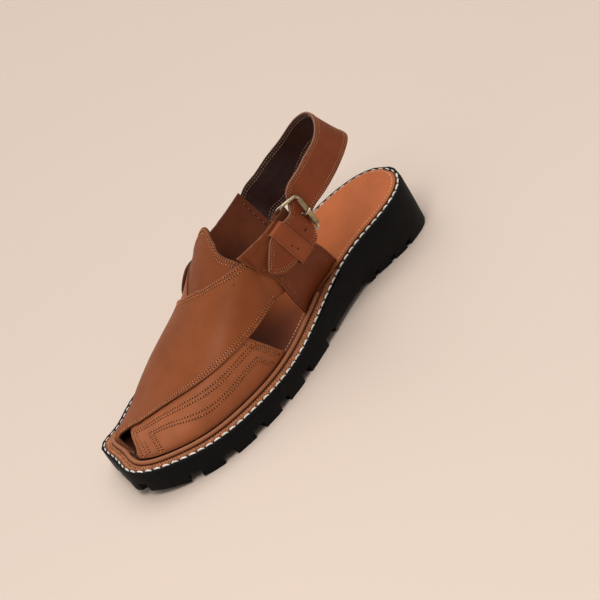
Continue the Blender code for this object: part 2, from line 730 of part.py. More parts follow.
def heel_strap():
    rows = []
    for row, room in zip(LYING_IN, INNER_ROOM):
        edge = np.linspace(row[1:3], row[4:6], STRAP_WIDE_POINTS)
        turn = turn_at(edge[:, 0], edge[:, 1], -1)
        lift = inner_rise(edge[:, 0], turn) + PANEL + room + HEEL_STRAP_THICK / 2
        rows.append(on_last(edge[:, 0], turn, lift))
    for row in FREE:
        rows.append(np.linspace(row[:3], row[3:], STRAP_WIDE_POINTS))
    for row in LYING_OUT:
        edge = np.linspace(row[:3], row[3:], STRAP_WIDE_POINTS)
        lift = LYING_ROOM + HEEL_STRAP_THICK / 2
        edge[:, 0] = [max(x, quarter_x(y, z, lift)) for x, y, z in edge]
        rows.append(edge)
    rows = np.array(rows)
    fine = np.stack([curve(rows[:, j], STRAP_STEPS) for j in range(STRAP_WIDE_POINTS)], 1)
    kept = [*range(0, BUCKLE_STEP, 3), *range(BUCKLE_STEP, STRAP_STEPS)]
    return sheet_slab("heel_strap", fine[kept], HEEL_STRAP_THICK, HEEL_STRAP)


heel_strap_body = heel_strap()

# ---- keeper: a band over the strap's end, its legs set on the quarter --------------------------

KEEPER_THICK = 1.2
# Corners of the keeper's middle over the strap: front and rear end, at the top and low leg.
KEEPER_TOP = ((51.0, 20.6, 98.2), (51.3, 32.5, 101.0))
KEEPER_LOW = ((51.9, 29.0, 65.5), (52.4, 41.5, 69.0))
KEEPER_BEND = 0.5       # how far in the keeper's corners are rounded
KEEPER_ROOM = 0.45      # between the keeper and the strap
KEEPER_FOOT = 1.0       # between its feet and the quarter's smooth face, for the fold's swell
KEEPER_TUCK = (-1.2, 0)       # how far up the feet stand from the corners
KEEPER_LEG = 1.5        # least height of a leg
KEEPER_SHARES = (0.02, 0.27, 0.5, 0.73, 0.98)   # rows across the strap, from the top leg


def keeper():
    """Path of the middle: up the top leg from the quarter, across the strap, down the low leg."""
    rows = []
    lines = [np.linspace(*np.array(corners, float), 4) for corners in (KEEPER_TOP, KEEPER_LOW)]
    for line, tuck in zip(lines, KEEPER_TUCK):
        foot = line.copy()
        foot[:, 2] += tuck
        foot[:, 0] = [quarter_x(y, z, KEEPER_FOOT) for x, y, z in foot]
        foot[:, 0] = np.minimum(foot[:, 0], line[:, 0] - KEEPER_LEG)
        bend = line - (KEEPER_BEND, 0, 0)
        rows.append((foot, bend))
    across = [lines[0] * (1 - share) + lines[1] * share for share in KEEPER_SHARES]
    over_strap = LYING_ROOM + HEEL_STRAP_THICK + KEEPER_ROOM + KEEPER_THICK / 2
    for line in across[1:-1]:
        line[:, 0] = [max(x, quarter_x(y, z, over_strap)) for x, y, z in line]
    path = [rows[0][0], rows[0][1], *across, rows[1][1], rows[1][0]]
    return sheet_slab("keeper", np.array(path), KEEPER_THICK, KEEPER)


round_shading(keeper(), 40)

# ---- buckle -------------------------------------------------------------------------------


FRAME_CORNER = 3.0      # how far from each corner the frame's wire starts to bend


def frame_path():
    """Rounded rectangle through the ends of the front bar and the roller's bar."""
    corners = np.array([FRONT_BAR[0], REAR_BAR[0], REAR_BAR[1], FRONT_BAR[1]])
    radius, path = FRAME_CORNER, []
    for k, corner in enumerate(corners):
        before, after = corners[k - 1] - corner, corners[(k + 1) % 4] - corner
        before, after = before / np.linalg.norm(before), after / np.linalg.norm(after)
        for share in (0, 0.25, 0.5, 0.75, 1):
            low, high = corner + before * radius, corner + after * radius
            path.append((1 - share)**2 * low + 2 * share * (1 - share) * corner + share**2 * high)
    return np.array(path)


round_shading(tube("buckle_frame", frame_path(), BAR_RADIUS, 10, BRASS, closed=True), 60)


ROLLER_RADIUS = 2.0
ROLLER_END = 3.4        # how far the roller stops short of the frame's corners
ROLLER_SIDES = 16


def roller():
    inner, outer, sides = BAR_RADIUS + GAP, ROLLER_RADIUS, ROLLER_SIDES
    axis = REAR_BAR[1] - REAR_BAR[0]
    axis /= np.linalg.norm(axis)
    ends = REAR_BAR[0] + axis * ROLLER_END, REAR_BAR[1] - axis * ROLLER_END
    side = np.cross(axis, (0, 1, 0))
    side /= np.linalg.norm(side)
    up = np.cross(axis, side)
    turn = np.linspace(0, 2 * np.pi, sides, endpoint=False)
    circle = np.cos(turn)[:, None] * side + np.sin(turn)[:, None] * up
    rings = [ends[0] + circle * outer, ends[1] + circle * outer,
             ends[1] + circle * inner, ends[0] + circle * inner]
    faces = grid_faces(4, sides, 0, True)
    faces += [(3 * sides + j, 3 * sides + (j + 1) % sides, (j + 1) % sides, j)
              for j in range(sides)]
    return solid("buckle_roller", np.vstack(rings), faces, ROLLER)


round_shading(roller(), 50)

PRONG_RADIUS = 0.8
PRONG_Z = 90.0
PRONG_EYE = (-160, 90)  # the eye's turn round the front bar, in degrees, open to the rear
PRONG_SHARE = (FRONT_BAR[0][2] - PRONG_Z) / (FRONT_BAR[0][2] - FRONT_BAR[1][2])
# The shank, from the roller's bar: outwards, to the rear, up. It comes up through the strap in
# front of the roller and bends over it.
SHANK = ((-3.2, -9.0, 0), (-4.2, -6.3, 0), (-4.0, -4.6, 0), (-2.6, -3.5, 0), (-0.9, -3.2, 0.3),
         (0.9, -3.1, 0.8), (2.3, -2.2, 1.5), (3.0, -0.9, 2.2), (3.3, 0.4, 2.9), (3.4, 1.3, 3.4))


def prong():
    """An eye round the front bar, open towards the rear, then the shank."""
    centre = along_bar(FRONT_BAR, PRONG_SHARE)[0]
    eye = BAR_RADIUS + GAP + PRONG_RADIUS
    path = [centre + eye * np.array([np.sin(angle), -np.cos(angle), 0])
            for angle in np.radians(np.linspace(*PRONG_EYE, 9))]
    rear = along_bar(REAR_BAR, PRONG_SHARE)[0]
    path += [rear + place for place in SHANK]
    return tube("buckle_prong", path, PRONG_RADIUS, 8, PRONG)


round_shading(prong(), 60)

# ---- slot of the tab and holes of the strap -------------------------------------------------


def oval_cutter(centre, half_long, half_high, reach):
    """An oval rod along X, long in Y."""
    turn = np.linspace(0, 2 * np.pi, 12, endpoint=False)
    ring = np.stack([0 * turn, half_long * np.cos(turn), half_high * np.sin(turn)], 1)
    points = np.vstack([ring + centre + (-reach, 0, 0), ring + centre + (reach, 0, 0)])
    faces = grid_faces(2, 12, 0, True) + [tuple(range(12))[::-1], tuple(range(12, 24))]
    return solid("cut", points, faces, RUBBER)


PRONG_HOLE = (47.1, 49.8, PRONG_Z + 1.1)
SPARE_HOLE = (50.0, 44.0, 83.0)
# Half length, half height and half depth of the slot in the fold and of the strap's two holes.
SLOT_SIZE, PRONG_HOLE_SIZE, SPARE_HOLE_SIZE = (5.0, 2.2, 6), (2.3, 1.5, 3), (1.9, 1.1, 5)
WIRE_ROOM = 1.45        # radius of the way cut for the buckle's frame where it leaves the fold
combine(upper, tube("cut", frame_path(), WIRE_ROOM, 10, RUBBER, closed=True), "DIFFERENCE")
for body, centre, size in ((upper, along_bar(FRONT_BAR, PRONG_SHARE)[0], SLOT_SIZE),
                           (heel_strap_body, PRONG_HOLE, PRONG_HOLE_SIZE),
                           (heel_strap_body, SPARE_HOLE, SPARE_HOLE_SIZE)):
    combine(body, oval_cutter(centre, *size), "DIFFERENCE")
round_shading(upper, 50)
round_shading(heel_strap_body, 50)
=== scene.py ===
# %% [markdown]
# # A Peshawari chappal, piece by piece
# This sandal is a flat thing bent round a foot: leather bands crossed over the instep, a strap
# round the heel, and a thick lugged rubber sole. The rigid frame of it comes from a CAD model.
# Every piece made here lies on that frame, so the first step is to load it.

# %% Load the frame
from functools import partial

import bmesh
import bpy
import numpy as np
from mathutils import Matrix


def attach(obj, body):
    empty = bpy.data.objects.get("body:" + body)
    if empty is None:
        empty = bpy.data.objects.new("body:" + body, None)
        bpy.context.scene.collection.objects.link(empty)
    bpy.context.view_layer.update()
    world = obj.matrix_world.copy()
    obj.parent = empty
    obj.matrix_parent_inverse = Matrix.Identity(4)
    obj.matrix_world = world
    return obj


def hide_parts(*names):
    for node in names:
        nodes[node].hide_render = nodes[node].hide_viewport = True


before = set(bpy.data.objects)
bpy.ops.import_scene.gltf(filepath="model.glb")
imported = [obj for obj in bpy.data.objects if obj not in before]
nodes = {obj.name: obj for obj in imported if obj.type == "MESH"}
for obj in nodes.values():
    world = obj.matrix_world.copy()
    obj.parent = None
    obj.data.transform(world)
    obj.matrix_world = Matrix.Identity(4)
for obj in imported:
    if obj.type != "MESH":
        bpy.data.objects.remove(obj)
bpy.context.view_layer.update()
print("nodes:", ", ".join(sorted(nodes)))

# %% [markdown]
# The camera comes early, because every look at the work goes through it. It stands high on the
# outer side, a little in front of the shoe, far away with a long lens so that the shoe keeps its
# true proportions, and it is rolled, which lets the shoe run from corner to corner.

# %% Camera
MM = 0.001
CAMERA_AT = np.array((1749.6, -668.4, 1147.2))
CAMERA_AIM = np.array((72.2, 5.0, 60.0))
CAMERA_ROLL = -32.6                     # degrees
LENS, SENSOR = 191.7, 36.0              # mm
CLIP = 0.1, 50.0                        # m


def linked(name, data):
    """A new object that holds the data, put into the scene."""
    thing = bpy.data.objects.new(name, data)
    bpy.context.scene.collection.objects.link(thing)
    return thing


def look_matrix(place, aim, roll):
    """Camera axes: forward to the aim, right level with the floor, then both turned by the roll."""
    ahead = (aim - place) / np.linalg.norm(aim - place)
    level = np.cross(ahead, (0, 0, 1))
    level /= np.linalg.norm(level)
    above = np.cross(level, ahead)
    angle = np.radians(roll)
    right = np.cos(angle) * level + np.sin(angle) * above
    matrix = np.eye(4)
    matrix[:3, 0], matrix[:3, 1], matrix[:3, 2] = right, np.cross(right, ahead), -ahead
    matrix[:3, 3] = place * MM
    return Matrix(matrix.tolist())


camera = linked("camera", bpy.data.cameras.new("camera"))
camera.data.lens, camera.data.sensor_width = LENS, SENSOR
camera.data.clip_start, camera.data.clip_end = CLIP
camera.matrix_world = look_matrix(CAMERA_AT, CAMERA_AIM, CAMERA_ROLL)
bpy.context.scene.camera = camera
print("camera distance in m:", round(float(np.linalg.norm(CAMERA_AT - CAMERA_AIM)) * MM, 3))

# %% [markdown]
# ## Nodes in a few words
# A material is a small graph. The helpers below add one node and fill its sockets, and a group
# wraps a graph that several materials share: grain, uneven dye, and rubbed edges with a painted
# highlight and shadow line.

# %% Node helpers


def fill(node, **values):
    """Set or link a node's sockets by name, with _ for a space, or by number, as i0. A name that
    starts with set_ is a property of the node itself."""
    for key, value in values.items():
        if key.startswith("set_"):
            setattr(node, key[4:], value)
            continue
        numbered = key[0] == "i" and key[1:].isdigit()
        socket = node.inputs[int(key[1:]) if numbered else key.replace("_", " ")]
        if isinstance(value, bpy.types.NodeSocket):
            node.id_data.links.new(value, socket)
        else:
            socket.default_value = value
    return node


def add_node(tree, kind, **values):
    """A new shader node of a kind, with its sockets filled."""
    return fill(tree.nodes.new("ShaderNode" + kind), **values)


def noise(tree, place, scale, detail=2.0, **more):
    """Soft noise between 0 and 1, its scale in patches to the metre."""
    return add_node(tree, "TexNoise", Vector=place, Scale=scale, Detail=detail, **more).outputs[0]


def maths(tree, operation, a, b=0.0):
    """One operation on one or two values."""
    return add_node(tree, "Math", set_operation=operation, i0=a, i1=b).outputs[0]


def remap(tree, value, low, high, to_low=0.0, to_high=1.0):
    """Straight line from (low, high) to (to_low, to_high), held at both ends."""
    return add_node(tree, "MapRange", i0=value, i1=low, i2=high, i3=to_low, i4=to_high).outputs[0]


def mix_colour(tree, factor, a, b):
    """Colour a at factor 0 and colour b at factor 1."""
    a, b = ((*value[:3], 1) if isinstance(value, tuple) else value for value in (a, b))
    return add_node(tree, "Mix", set_data_type="RGBA", i0=factor, i6=a, i7=b).outputs[2]


def bump(tree, strength, distance, height):
    """Relief from a height, whose full range stands for a distance in millimetres."""
    return add_node(tree, "Bump", Strength=strength, Distance=distance * MM,
                    Height=height).outputs[0]


def tools(tree):
    """Object coordinates in the tree, and its own add, noise, maths, remap, mix and bump."""
    place = add_node(tree, "TexCoord").outputs["Object"]
    return place, *(partial(tool, tree) for tool in (add_node, noise, maths, remap, mix_colour,
                                                     bump))


FLOAT, COLOUR = "NodeSocketFloat", "NodeSocketColor"


def new_group(name, inputs, outputs):
    """An empty shader group with its sockets. Returns the tree, its input sockets by name and
    its output node."""
    tree = bpy.data.node_groups.new(name, "ShaderNodeTree")
    for label, kind, value in inputs:
        socket = tree.interface.new_socket(label, in_out="INPUT", socket_type=kind)
        socket.default_value = value
    for label, kind in outputs:
        tree.interface.new_socket(label, in_out="OUTPUT", socket_type=kind)
    return tree, tree.nodes.new("NodeGroupInput").outputs, tree.nodes.new("NodeGroupOutput")


print("node helpers ready")

# %% [markdown]
# Smooth oiled leather shows three sizes of unevenness. Over centimetres the dye is lighter and
# darker, over millimetres there are faint clouds and stretch lines, and below that the pores.
# One group gives the colour and a height for all of them.

# %% Leather group
LEATHER_GROUP, given, leave = new_group(
    "leather_hide",
    (("Colour", COLOUR, (0.3, 0.1, 0.04, 1)), ("Dark", COLOUR, (0.16, 0.05, 0.02, 1)),
     ("Light", COLOUR, (0.42, 0.16, 0.07, 1)), ("Unevenness", FLOAT, 0.5),
     ("Pore Size", FLOAT, 0.5), ("Creases", FLOAT, 0.3)),
    (("Colour", COLOUR), ("Roughness", FLOAT), ("Height", FLOAT)))
place, add, cloud, calc, fit, mix, _ = tools(LEATHER_GROUP)
clouds = cloud(place, 38.0, 4.0, Roughness=0.55)                # centimetres
speckle = cloud(place, 420.0, 5.0, Roughness=0.6)               # millimetres and less
pores = add("TexVoronoi", Vector=place, Scale=calc("DIVIDE", 1000.0, given["Pore Size"]),
            set_feature="SMOOTH_F1").outputs[0]
stretched = add("Mapping", Vector=place, Rotation=(0.3, 0.2, 0.7), Scale=(1.0, 0.22, 0.6))
crease = fit(cloud(stretched.outputs[0], 260.0, 3.0, Roughness=0.5, Distortion=0.6), 0.42, 0.5)
dark_part = calc("MULTIPLY", fit(clouds, 0.52, 0.32), given["Unevenness"])
light_part = calc("MULTIPLY", fit(clouds, 0.5, 0.72), given["Unevenness"])
dyed = mix(light_part, mix(dark_part, given["Colour"], given["Dark"]), given["Light"])
specks = calc("ABSOLUTE", calc("MULTIPLY", fit(speckle, 0.35, 0.65, -0.5, 0.5), 0.35))
dyed = mix(calc("MULTIPLY", specks, given["Unevenness"]), dyed, given["Dark"])
rough = calc("ADD", fit(speckle, 0.3, 0.7, 0.36, 0.5), fit(clouds, 0.3, 0.7, 0.06, -0.04))
height = calc("ADD", calc("MULTIPLY", pores, 0.45), calc("MULTIPLY", speckle, 0.5))
height = calc("ADD", height, calc("MULTIPLY", crease, given["Creases"]))
fill(leave, Colour=dyed, Roughness=rough, Height=height)
print("group", LEATHER_GROUP.name, "has", len(LEATHER_GROUP.nodes), "nodes")

# %% [markdown]
# A cut or rubbed edge is paler than the face, where the dye has rubbed off or never reached, and
# this pale band is also a painted highlight along the rounded rim. Each leather mesh carries its
# distance from its own edge in millimetres, as an attribute, and this group turns that distance
# into a soft band of the edge's colour with a darker line behind it. The side of a burnished edge,
# the last part of a millimetre, can be darker again, which also paints the shadow line under a
# lying edge.

# %% Edge group
EDGE_GROUP, given, leave = new_group(
    "edge_wear_and_painted_light",
    (("Colour", COLOUR, (0.3, 0.1, 0.04, 1)), ("Edge Colour", COLOUR, (0.5, 0.25, 0.12, 1)),
     ("Groove Colour", COLOUR, (0.1, 0.03, 0.01, 1)), ("Width", FLOAT, 0.8),
     ("Wear", FLOAT, 0.7), ("Groove", FLOAT, 0.3), ("Side", FLOAT, 0.0)),
    (("Colour", COLOUR),))
place, add, cloud, calc, fit, mix, _ = tools(EDGE_GROUP)
away = add("Attribute", set_attribute_name="edge_mm").outputs["Fac"]
ragged = fit(cloud(place, 300.0, 3.0), 0.3, 0.7, 0.6, 1.3)
near = calc("DIVIDE", away, calc("MULTIPLY", given["Width"], ragged))
# Pale band at the rim: rubbed dye, and partly a painted highlight along the rounded rim.
mask = calc("MULTIPLY", fit(near, 1.2, 0.5), given["Wear"])
behind = calc("MULTIPLY", fit(near, 1.0, 1.8), fit(near, 4.5, 2.0))
behind = calc("MULTIPLY", behind, given["Groove"])
edge_toned = mix(behind, given["Colour"], given["Groove Colour"])
edge_toned = mix(mask, edge_toned, given["Edge Colour"])
# Dark side of the edge: burnished, and partly a painted shadow line under a lying edge.
side = calc("MULTIPLY", fit(away, 0.5, 0.22), given["Side"])
fill(leave, Colour=mix(side, edge_toned, given["Groove Colour"]))
print("group", EDGE_GROUP.name, "has", len(EDGE_GROUP.nodes), "nodes")

# %% [markdown]
# Every leather is one Principled shader fed by these two groups. No two panels of a real pair come
# from the same place of a hide, so bands, quarters, tongue and strap each have a brown of their
# own. The under band's lighter brown is partly painted light, the outer quarter's and the tongue's
# darker browns are partly painted shade, and the insole is darkened under the bands and at the toe
# as painted shade.

# %% Leather materials


def new_material(name):
    """A material, its tree and its Principled shader."""
    made = bpy.data.materials.new(name)
    made.use_nodes = True
    return made, made.node_tree, made.node_tree.nodes["Principled BSDF"]


def shade(value, factor):
    """A colour made darker or lighter, with its channels held at 1."""
    return tuple(min(1.0, channel * factor) for channel in value)


def leather(name, colour, uneven=0.3, pore=0.55, creases=0.3, edge=None, wear=0.7, groove=0.25,
            width=0.55, relief=0.12, specular=0.17, rougher=0.08, side=0.0):
    """Principled leather: hide colours and height from the hide group, its edge from the other.
    Pore, width and relief are in millimetres, the rest are shares."""
    made, tree, shader = new_material(name)
    hide = add_node(tree, "Group", set_node_tree=LEATHER_GROUP, Colour=(*colour, 1),
                    Dark=(*shade(colour, 0.55), 1), Light=(*shade(colour, 1.35), 1),
                    Unevenness=uneven, Pore_Size=pore, Creases=creases).outputs
    edge_toned = add_node(tree, "Group", set_node_tree=EDGE_GROUP, Colour=hide["Colour"],
                    Edge_Colour=(*(edge or shade(colour, 1.7)), 1),
                    Groove_Colour=(*shade(colour, 0.3), 1), Width=width, Wear=wear,
                    Groove=groove, Side=side).outputs
    fill(shader, Base_Color=edge_toned["Colour"], Specular_IOR_Level=specular,
         Roughness=maths(tree, "ADD", hide["Roughness"], rougher),
         Normal=bump(tree, 0.5, relief, hide["Height"]))
    return made


print("nodes a leather shares:", len(LEATHER_GROUP.nodes) + len(EDGE_GROUP.nodes))

# %% [markdown]
# The colours are written as linear shares of red, green and blue. The bands' cut edges are a little
# paler than their faces, the strap's much paler, the pale rim partly a painted highlight, and the
# side of an edge is dark again, partly a painted shadow line.

# %% The leathers
BAND_EDGE = dict(wear=0.6, groove=0.35, width=0.8, side=0.9)
UPPER_LEATHER = leather("upper_hide", (0.255, 0.068, 0.0195), edge=(0.38, 0.135, 0.052),
                        **BAND_EDGE)
# Lighter brown: partly its own, partly painted light standing in for the light the under band
# catches.
UNDER_LEATHER = leather("under_band_hide_and_light", (0.355, 0.106, 0.040), edge=(0.42, 0.155, 0.062),
                        **BAND_EDGE)
# Darker brown: partly its own, partly painted shade for the shadow under the strap and keeper.
QUARTER_LEATHER = leather("quarter_hide_and_shade", (0.185, 0.042, 0.0115), edge=(0.36, 0.125, 0.048),
                          **BAND_EDGE)
# Darker brown: partly its own, partly painted shade for the shadow under the bands.
TONGUE_LEATHER = leather("tongue_hide_and_shade", (0.215, 0.056, 0.017), edge=(0.33, 0.115, 0.045),
                         **BAND_EDGE)
LINING = leather("lining_hide", (0.026, 0.0095, 0.0075), 0.7, 0.8, 1.0, edge=(0.2, 0.08, 0.04),
                 wear=0.5, relief=0.3, specular=0.2)
PANEL_BACK = leather("panel_back", (0.115, 0.029, 0.011), 0.7, 0.6, 0.4, edge=(0.24, 0.085, 0.035),
                     side=0.8)
STRAP_LEATHER = leather("strap_hide", (0.215, 0.047, 0.0145), edge=(0.27, 0.135, 0.085), wear=0.75,
                        width=0.62)
KEEPER_LEATHER = leather("keeper_hide", (0.255, 0.060, 0.019), edge=(0.34, 0.13, 0.06))
INSOLE_LEATHER = leather("insole_hide", (0.53, 0.138, 0.040), 0.22, 0.5, 0.15,
                         edge=(0.3, 0.12, 0.05), wear=0.5, relief=0.06, specular=0.14)
BEAD_LEATHER = leather("bead_hide", (0.34, 0.105, 0.036), 0.6, 0.5, 0.4, edge=(0.35, 0.14, 0.07))
WELT_LEATHER = leather("welt_hide", (0.20, 0.068, 0.030), 0.8, 0.5, 0.6, relief=0.3, rougher=0.12)


def paint_shade_towards_toe(material, start, end, tone):
    """Painted shade: a dark tone mixed into the base colour between two places along the sandal, in
    metres.
    """
    place, add, _, _, fit, mix, _ = tools(material.node_tree)
    shader = material.node_tree.nodes["Principled BSDF"]
    base = shader.inputs["Base Color"].links[0].from_socket
    along = add("SeparateXYZ", i0=place).outputs["Y"]
    fill(shader, Base_Color=mix(fit(along, start, end), base, tone))


# Painted shade on the insole: a first dark tone from station 70 to 0, under the bands, and near
# black from station 20 to -50 and on to the toe, where the toe opening lies in shadow.
paint_shade_towards_toe(INSOLE_LEATHER, 0.07, 0.0, (0.185, 0.040, 0.0125))
paint_shade_towards_toe(INSOLE_LEATHER, 0.02, -0.05, (0.03, 0.0085, 0.0042))
print("leathers:", len(bpy.data.materials))

# %% [markdown]
# Thread is twisted from plies, so it catches light in fine slanted lines. The rubber is matt with a
# fine moulded speckle, and the buckle is brass that has gone brown in its low places; the material
# puts that brown in patches of noise.

# %% Thread, rubber and metal


def thread(name, colour, roughness=0.6):
    """Fibre: a tone that changes from stitch to stitch, and fine slanted plies as bump."""
    made, tree, shader = new_material(name)
    place, add, cloud, _, fit, mix, relief = tools(tree)
    plies = add("TexWave", Vector=place, Scale=900.0, Distortion=2.0,
                set_bands_direction="DIAGONAL").outputs[1]
    tone = fit(cloud(place, 330.0), 0.35, 0.65)
    fill(shader, Base_Color=mix(tone, shade(colour, 0.72), shade(colour, 1.15)),
         Roughness=roughness, Normal=relief(0.4, 0.05, plies))
    return made


def rubber(name, colour):
    """Matt black: a dull bloom in clouds, and a fine moulded speckle as bump."""
    made, tree, shader = new_material(name)
    place, _, cloud, _, fit, mix, relief = tools(tree)
    bloom = cloud(place, 60.0, 5.0, Roughness=0.65)
    fill(shader, Base_Color=mix(fit(bloom, 0.4, 0.75, 0, 0.6), colour, shade(colour, 1.8)),
         Roughness=fit(bloom, 0.3, 0.7, 0.55, 0.72), Specular_IOR_Level=0.13,
         Normal=relief(0.5, 0.12, cloud(place, 1400.0, 3.0)))
    return made


def brass(name, colour, tarnish, roughness):
    """Old brass: bright metal, with brown tarnish in patches and fine scratches."""
    made, tree, shader = new_material(name)
    place, add, cloud, _, fit, mix, relief = tools(tree)
    patches = cloud(place, 240.0, 6.0, Roughness=0.65)
    lines = add("Mapping", Vector=place, Scale=(1.0, 1.0, 0.08)).outputs[0]
    fill(shader, Base_Color=mix(fit(patches, 0.42, 0.68, 0.0, 0.85), colour, tarnish),
         Roughness=fit(patches, 0.3, 0.7, roughness - 0.08, roughness + 0.18),
         Metallic=fit(patches, 0.55, 0.75, 1.0, 0.75),
         Normal=relief(0.25, 0.04, cloud(lines, 2500.0)))
    return made


TAN_THREAD = thread("tan_thread", (0.47, 0.155, 0.05))
STRAP_THREAD = thread("strap_thread", (0.50, 0.205, 0.082))
CREAM_THREAD = thread("cream_thread", (0.34, 0.225, 0.155))
INSOLE_THREAD = thread("insole_thread", (0.74, 0.47, 0.29))
WHITE_THREAD = thread("white_thread", (0.86, 0.83, 0.77))
BROWN_THREAD = thread("brown_thread", (0.22, 0.075, 0.03))
BRAID_THREAD = thread("braid_thread", (0.45, 0.165, 0.066), 0.7)
# Painted shade: near-black fills for the shadow inside punched holes and needle holes.
HOLE_DARK = rubber("hole_shadow", (0.008, 0.004, 0.003))
NEEDLE_DARK = rubber("needle_hole", (0.046, 0.013, 0.006))
RUBBER = rubber("black_rubber", (0.0022, 0.0022, 0.0026))
WIRE_BRASS = brass("wire_brass", (0.62, 0.52, 0.36), (0.20, 0.14, 0.08), 0.3)
ROLLER_BRASS = brass("roller_brass", (0.40, 0.33, 0.20), (0.16, 0.12, 0.07), 0.38)
PRONG_BRASS = brass("prong_brass", (0.70, 0.62, 0.48), (0.28, 0.21, 0.13), 0.28)
print("materials:", len(bpy.data.materials))

# %% [markdown]
# ## Meshes from grids
# Each piece is worked out as a grid of points in millimetres and handed to Blender as a mesh.

# %% Mesh helpers


def grid_faces(rows, columns, wrap_rows=False, wrap_columns=False):
    """Quads of a grid numbered row by row, as one array."""
    i = np.arange(rows if wrap_rows else rows - 1)[:, None]
    j = np.arange(columns if wrap_columns else columns - 1)[None]
    a, b = i * columns + j, i * columns + (j + 1) % columns
    below = ((i + 1) % rows) * columns
    c, d = below + (j + 1) % columns, below + j + 0 * i
    return np.stack([a, b, c, d], -1).reshape(-1, 4)


def tube_faces(rings, sides, closed=False):
    """Quads between rings in a row, with a disc at both ends unless the row is closed."""
    faces = [tuple(face) for face in grid_faces(rings, sides, closed, True)]
    if not closed:
        last = (rings - 1) * sides
        faces += [tuple(range(sides))[::-1], tuple(last + j for j in range(sides))]
    return faces


def gathered(parts):
    """Points and faces of many parts as one mesh. A part is its points and one or more arrays of
    faces, whose numbers go on from the points of the parts before it."""
    firsts = np.cumsum([0] + [len(part[0]) for part in parts])
    faces = [tuple(face) for first, (_, *arrays) in zip(firsts, parts)
             for array in arrays for face in array + first]
    return np.vstack([part[0] for part in parts]), faces


def new_mesh(name, points, faces, *looks):
    """A mesh from points in millimetres and faces of any number of corners."""
    mesh = bpy.data.meshes.new(name)
    faces = [tuple(int(k) for k in face) for face in faces]
    mesh.from_pydata((np.asarray(points, float) * MM).tolist(), [], faces)
    for look in looks:
        mesh.materials.append(look)
    return mesh


def shade_smooth(mesh, sharp=None):
    """Smooth shading, broken along edges sharper than an angle in degrees."""
    mesh.shade_smooth()
    if sharp:
        mesh.set_sharp_from_angle(angle=np.radians(sharp))


def new_piece(name, points, faces, looks, slot, replaces=None, sharp=None, rim=None):
    """A mesh object, smooth shaded, riding on the body; the slot is not used. A sheet of leather
    has two looks, for the two halves of its faces, and its distances from its rim."""
    mesh = new_mesh(name, points, faces, *looks)
    if rim is not None:
        layer = mesh.attributes.new("edge_mm", "FLOAT", "POINT")
        layer.data.foreach_set("value", rim.astype(np.float32))
        look_index = np.repeat(np.array((0, 1), np.int32), len(faces) // 2)
        mesh.polygons.foreach_set("material_index", look_index)
    shade_smooth(mesh, sharp)
    mesh.update()
    piece = linked(name, mesh)
    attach(piece, "root")
    if replaces:
        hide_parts(replaces)
    print(f"{name}: {len(mesh.vertices)} points, {len(mesh.polygons)} faces")
    return piece


print("mesh helpers ready")

# %% [markdown]
# Lines are given by a few points and drawn smoothly through them with a natural cubic spline,
# the curve of a thin batten held at those points. They are then read again at even steps, so
# that stitches and grid rows keep their spacing.

# %% Curves


def lengths(points):
    """Distance along a polyline up to each of its points."""
    return np.r_[0, np.cumsum(np.linalg.norm(np.diff(points, axis=0), axis=1))]


def read_at(at, knots, values, read=np.interp):
    """Every column of the values, which are given at the knots, read at other places."""
    return np.stack([read(at, knots, column) for column in np.asarray(values, float).T], -1)


def resample(points, count):
    """The polyline read at evenly spaced distances."""
    run = lengths(points)
    return read_at(np.linspace(0, run[-1], count), run, points)


def natural_spline(x, knots, values):
    """Natural cubic spline through (knots, values), read at x, straight outside the ends."""
    knots, values = np.asarray(knots, float), np.asarray(values, float)
    n, h = len(knots), np.diff(knots)
    system, right = np.eye(n), np.zeros(n)
    for i in range(1, n - 1):
        system[i, i - 1:i + 2] = h[i - 1], 2 * (h[i - 1] + h[i]), h[i]
        right[i] = 6 * ((values[i + 1] - values[i]) / h[i] - (values[i] - values[i - 1]) / h[i - 1])
    bend = np.linalg.solve(system, right)
    x = np.asarray(x, float)
    i = np.clip(np.searchsorted(knots, x, side="right") - 1, 0, n - 2)
    a, b, w = knots[i + 1] - x, x - knots[i], h[i]
    cubic = (bend[i] * a**3 + bend[i + 1] * b**3) / (6 * w)
    cubic += (values[i] / w - bend[i] * w / 6) * a + (values[i + 1] / w - bend[i + 1] * w / 6) * b
    first = (values[1] - values[0]) / h[0] - bend[1] * h[0] / 6
    final = (values[-1] - values[-2]) / h[-1] + bend[-2] * h[-1] / 6
    cubic = np.where(x < knots[0], values[0] + first * (x - knots[0]), cubic)
    return np.where(x > knots[-1], values[-1] + final * (x - knots[-1]), cubic)


def curve(points, count, scale=(1, 1, 1)):
    """A smooth curve through the points, one natural spline per coordinate, evenly spaced."""
    points = np.asarray(points, float)
    if len(points) < 3:
        return resample(points, count)
    run = lengths(points * np.asarray(scale[:points.shape[1]]))
    fine = np.linspace(0, run[-1], max(8 * count, 960))
    smooth = read_at(fine, run, points, natural_spline)
    at = lengths(smooth * np.asarray(scale[:points.shape[1]]))
    return read_at(np.linspace(0, at[-1], count), at, smooth)


def closed_curve(points, count):
    """A smooth closed curve: the points are repeated twice round so that the ends agree."""
    points = np.asarray(points, float)
    n = len(points)
    looped = np.vstack([points, points, points, points[:1]])
    run = lengths(looped)
    fine = np.linspace(run[n], run[2 * n], 8 * count + 1)
    smooth = read_at(fine, run, looped, natural_spline)
    return resample(smooth, count + 1)[:-1]


def smooth_step(value, start, end):
    """From 0 at the start to 1 at the end, level at both: 3 s^2 - 2 s^3."""
    share = np.clip((value - start) / (end - start), 0, 1)
    return share * share * (3 - 2 * share)


def unit(vectors):
    """Each vector divided by its own length."""
    return vectors / np.maximum(np.linalg.norm(vectors, axis=-1, keepdims=True), 1e-9)


print("curve helpers ready")

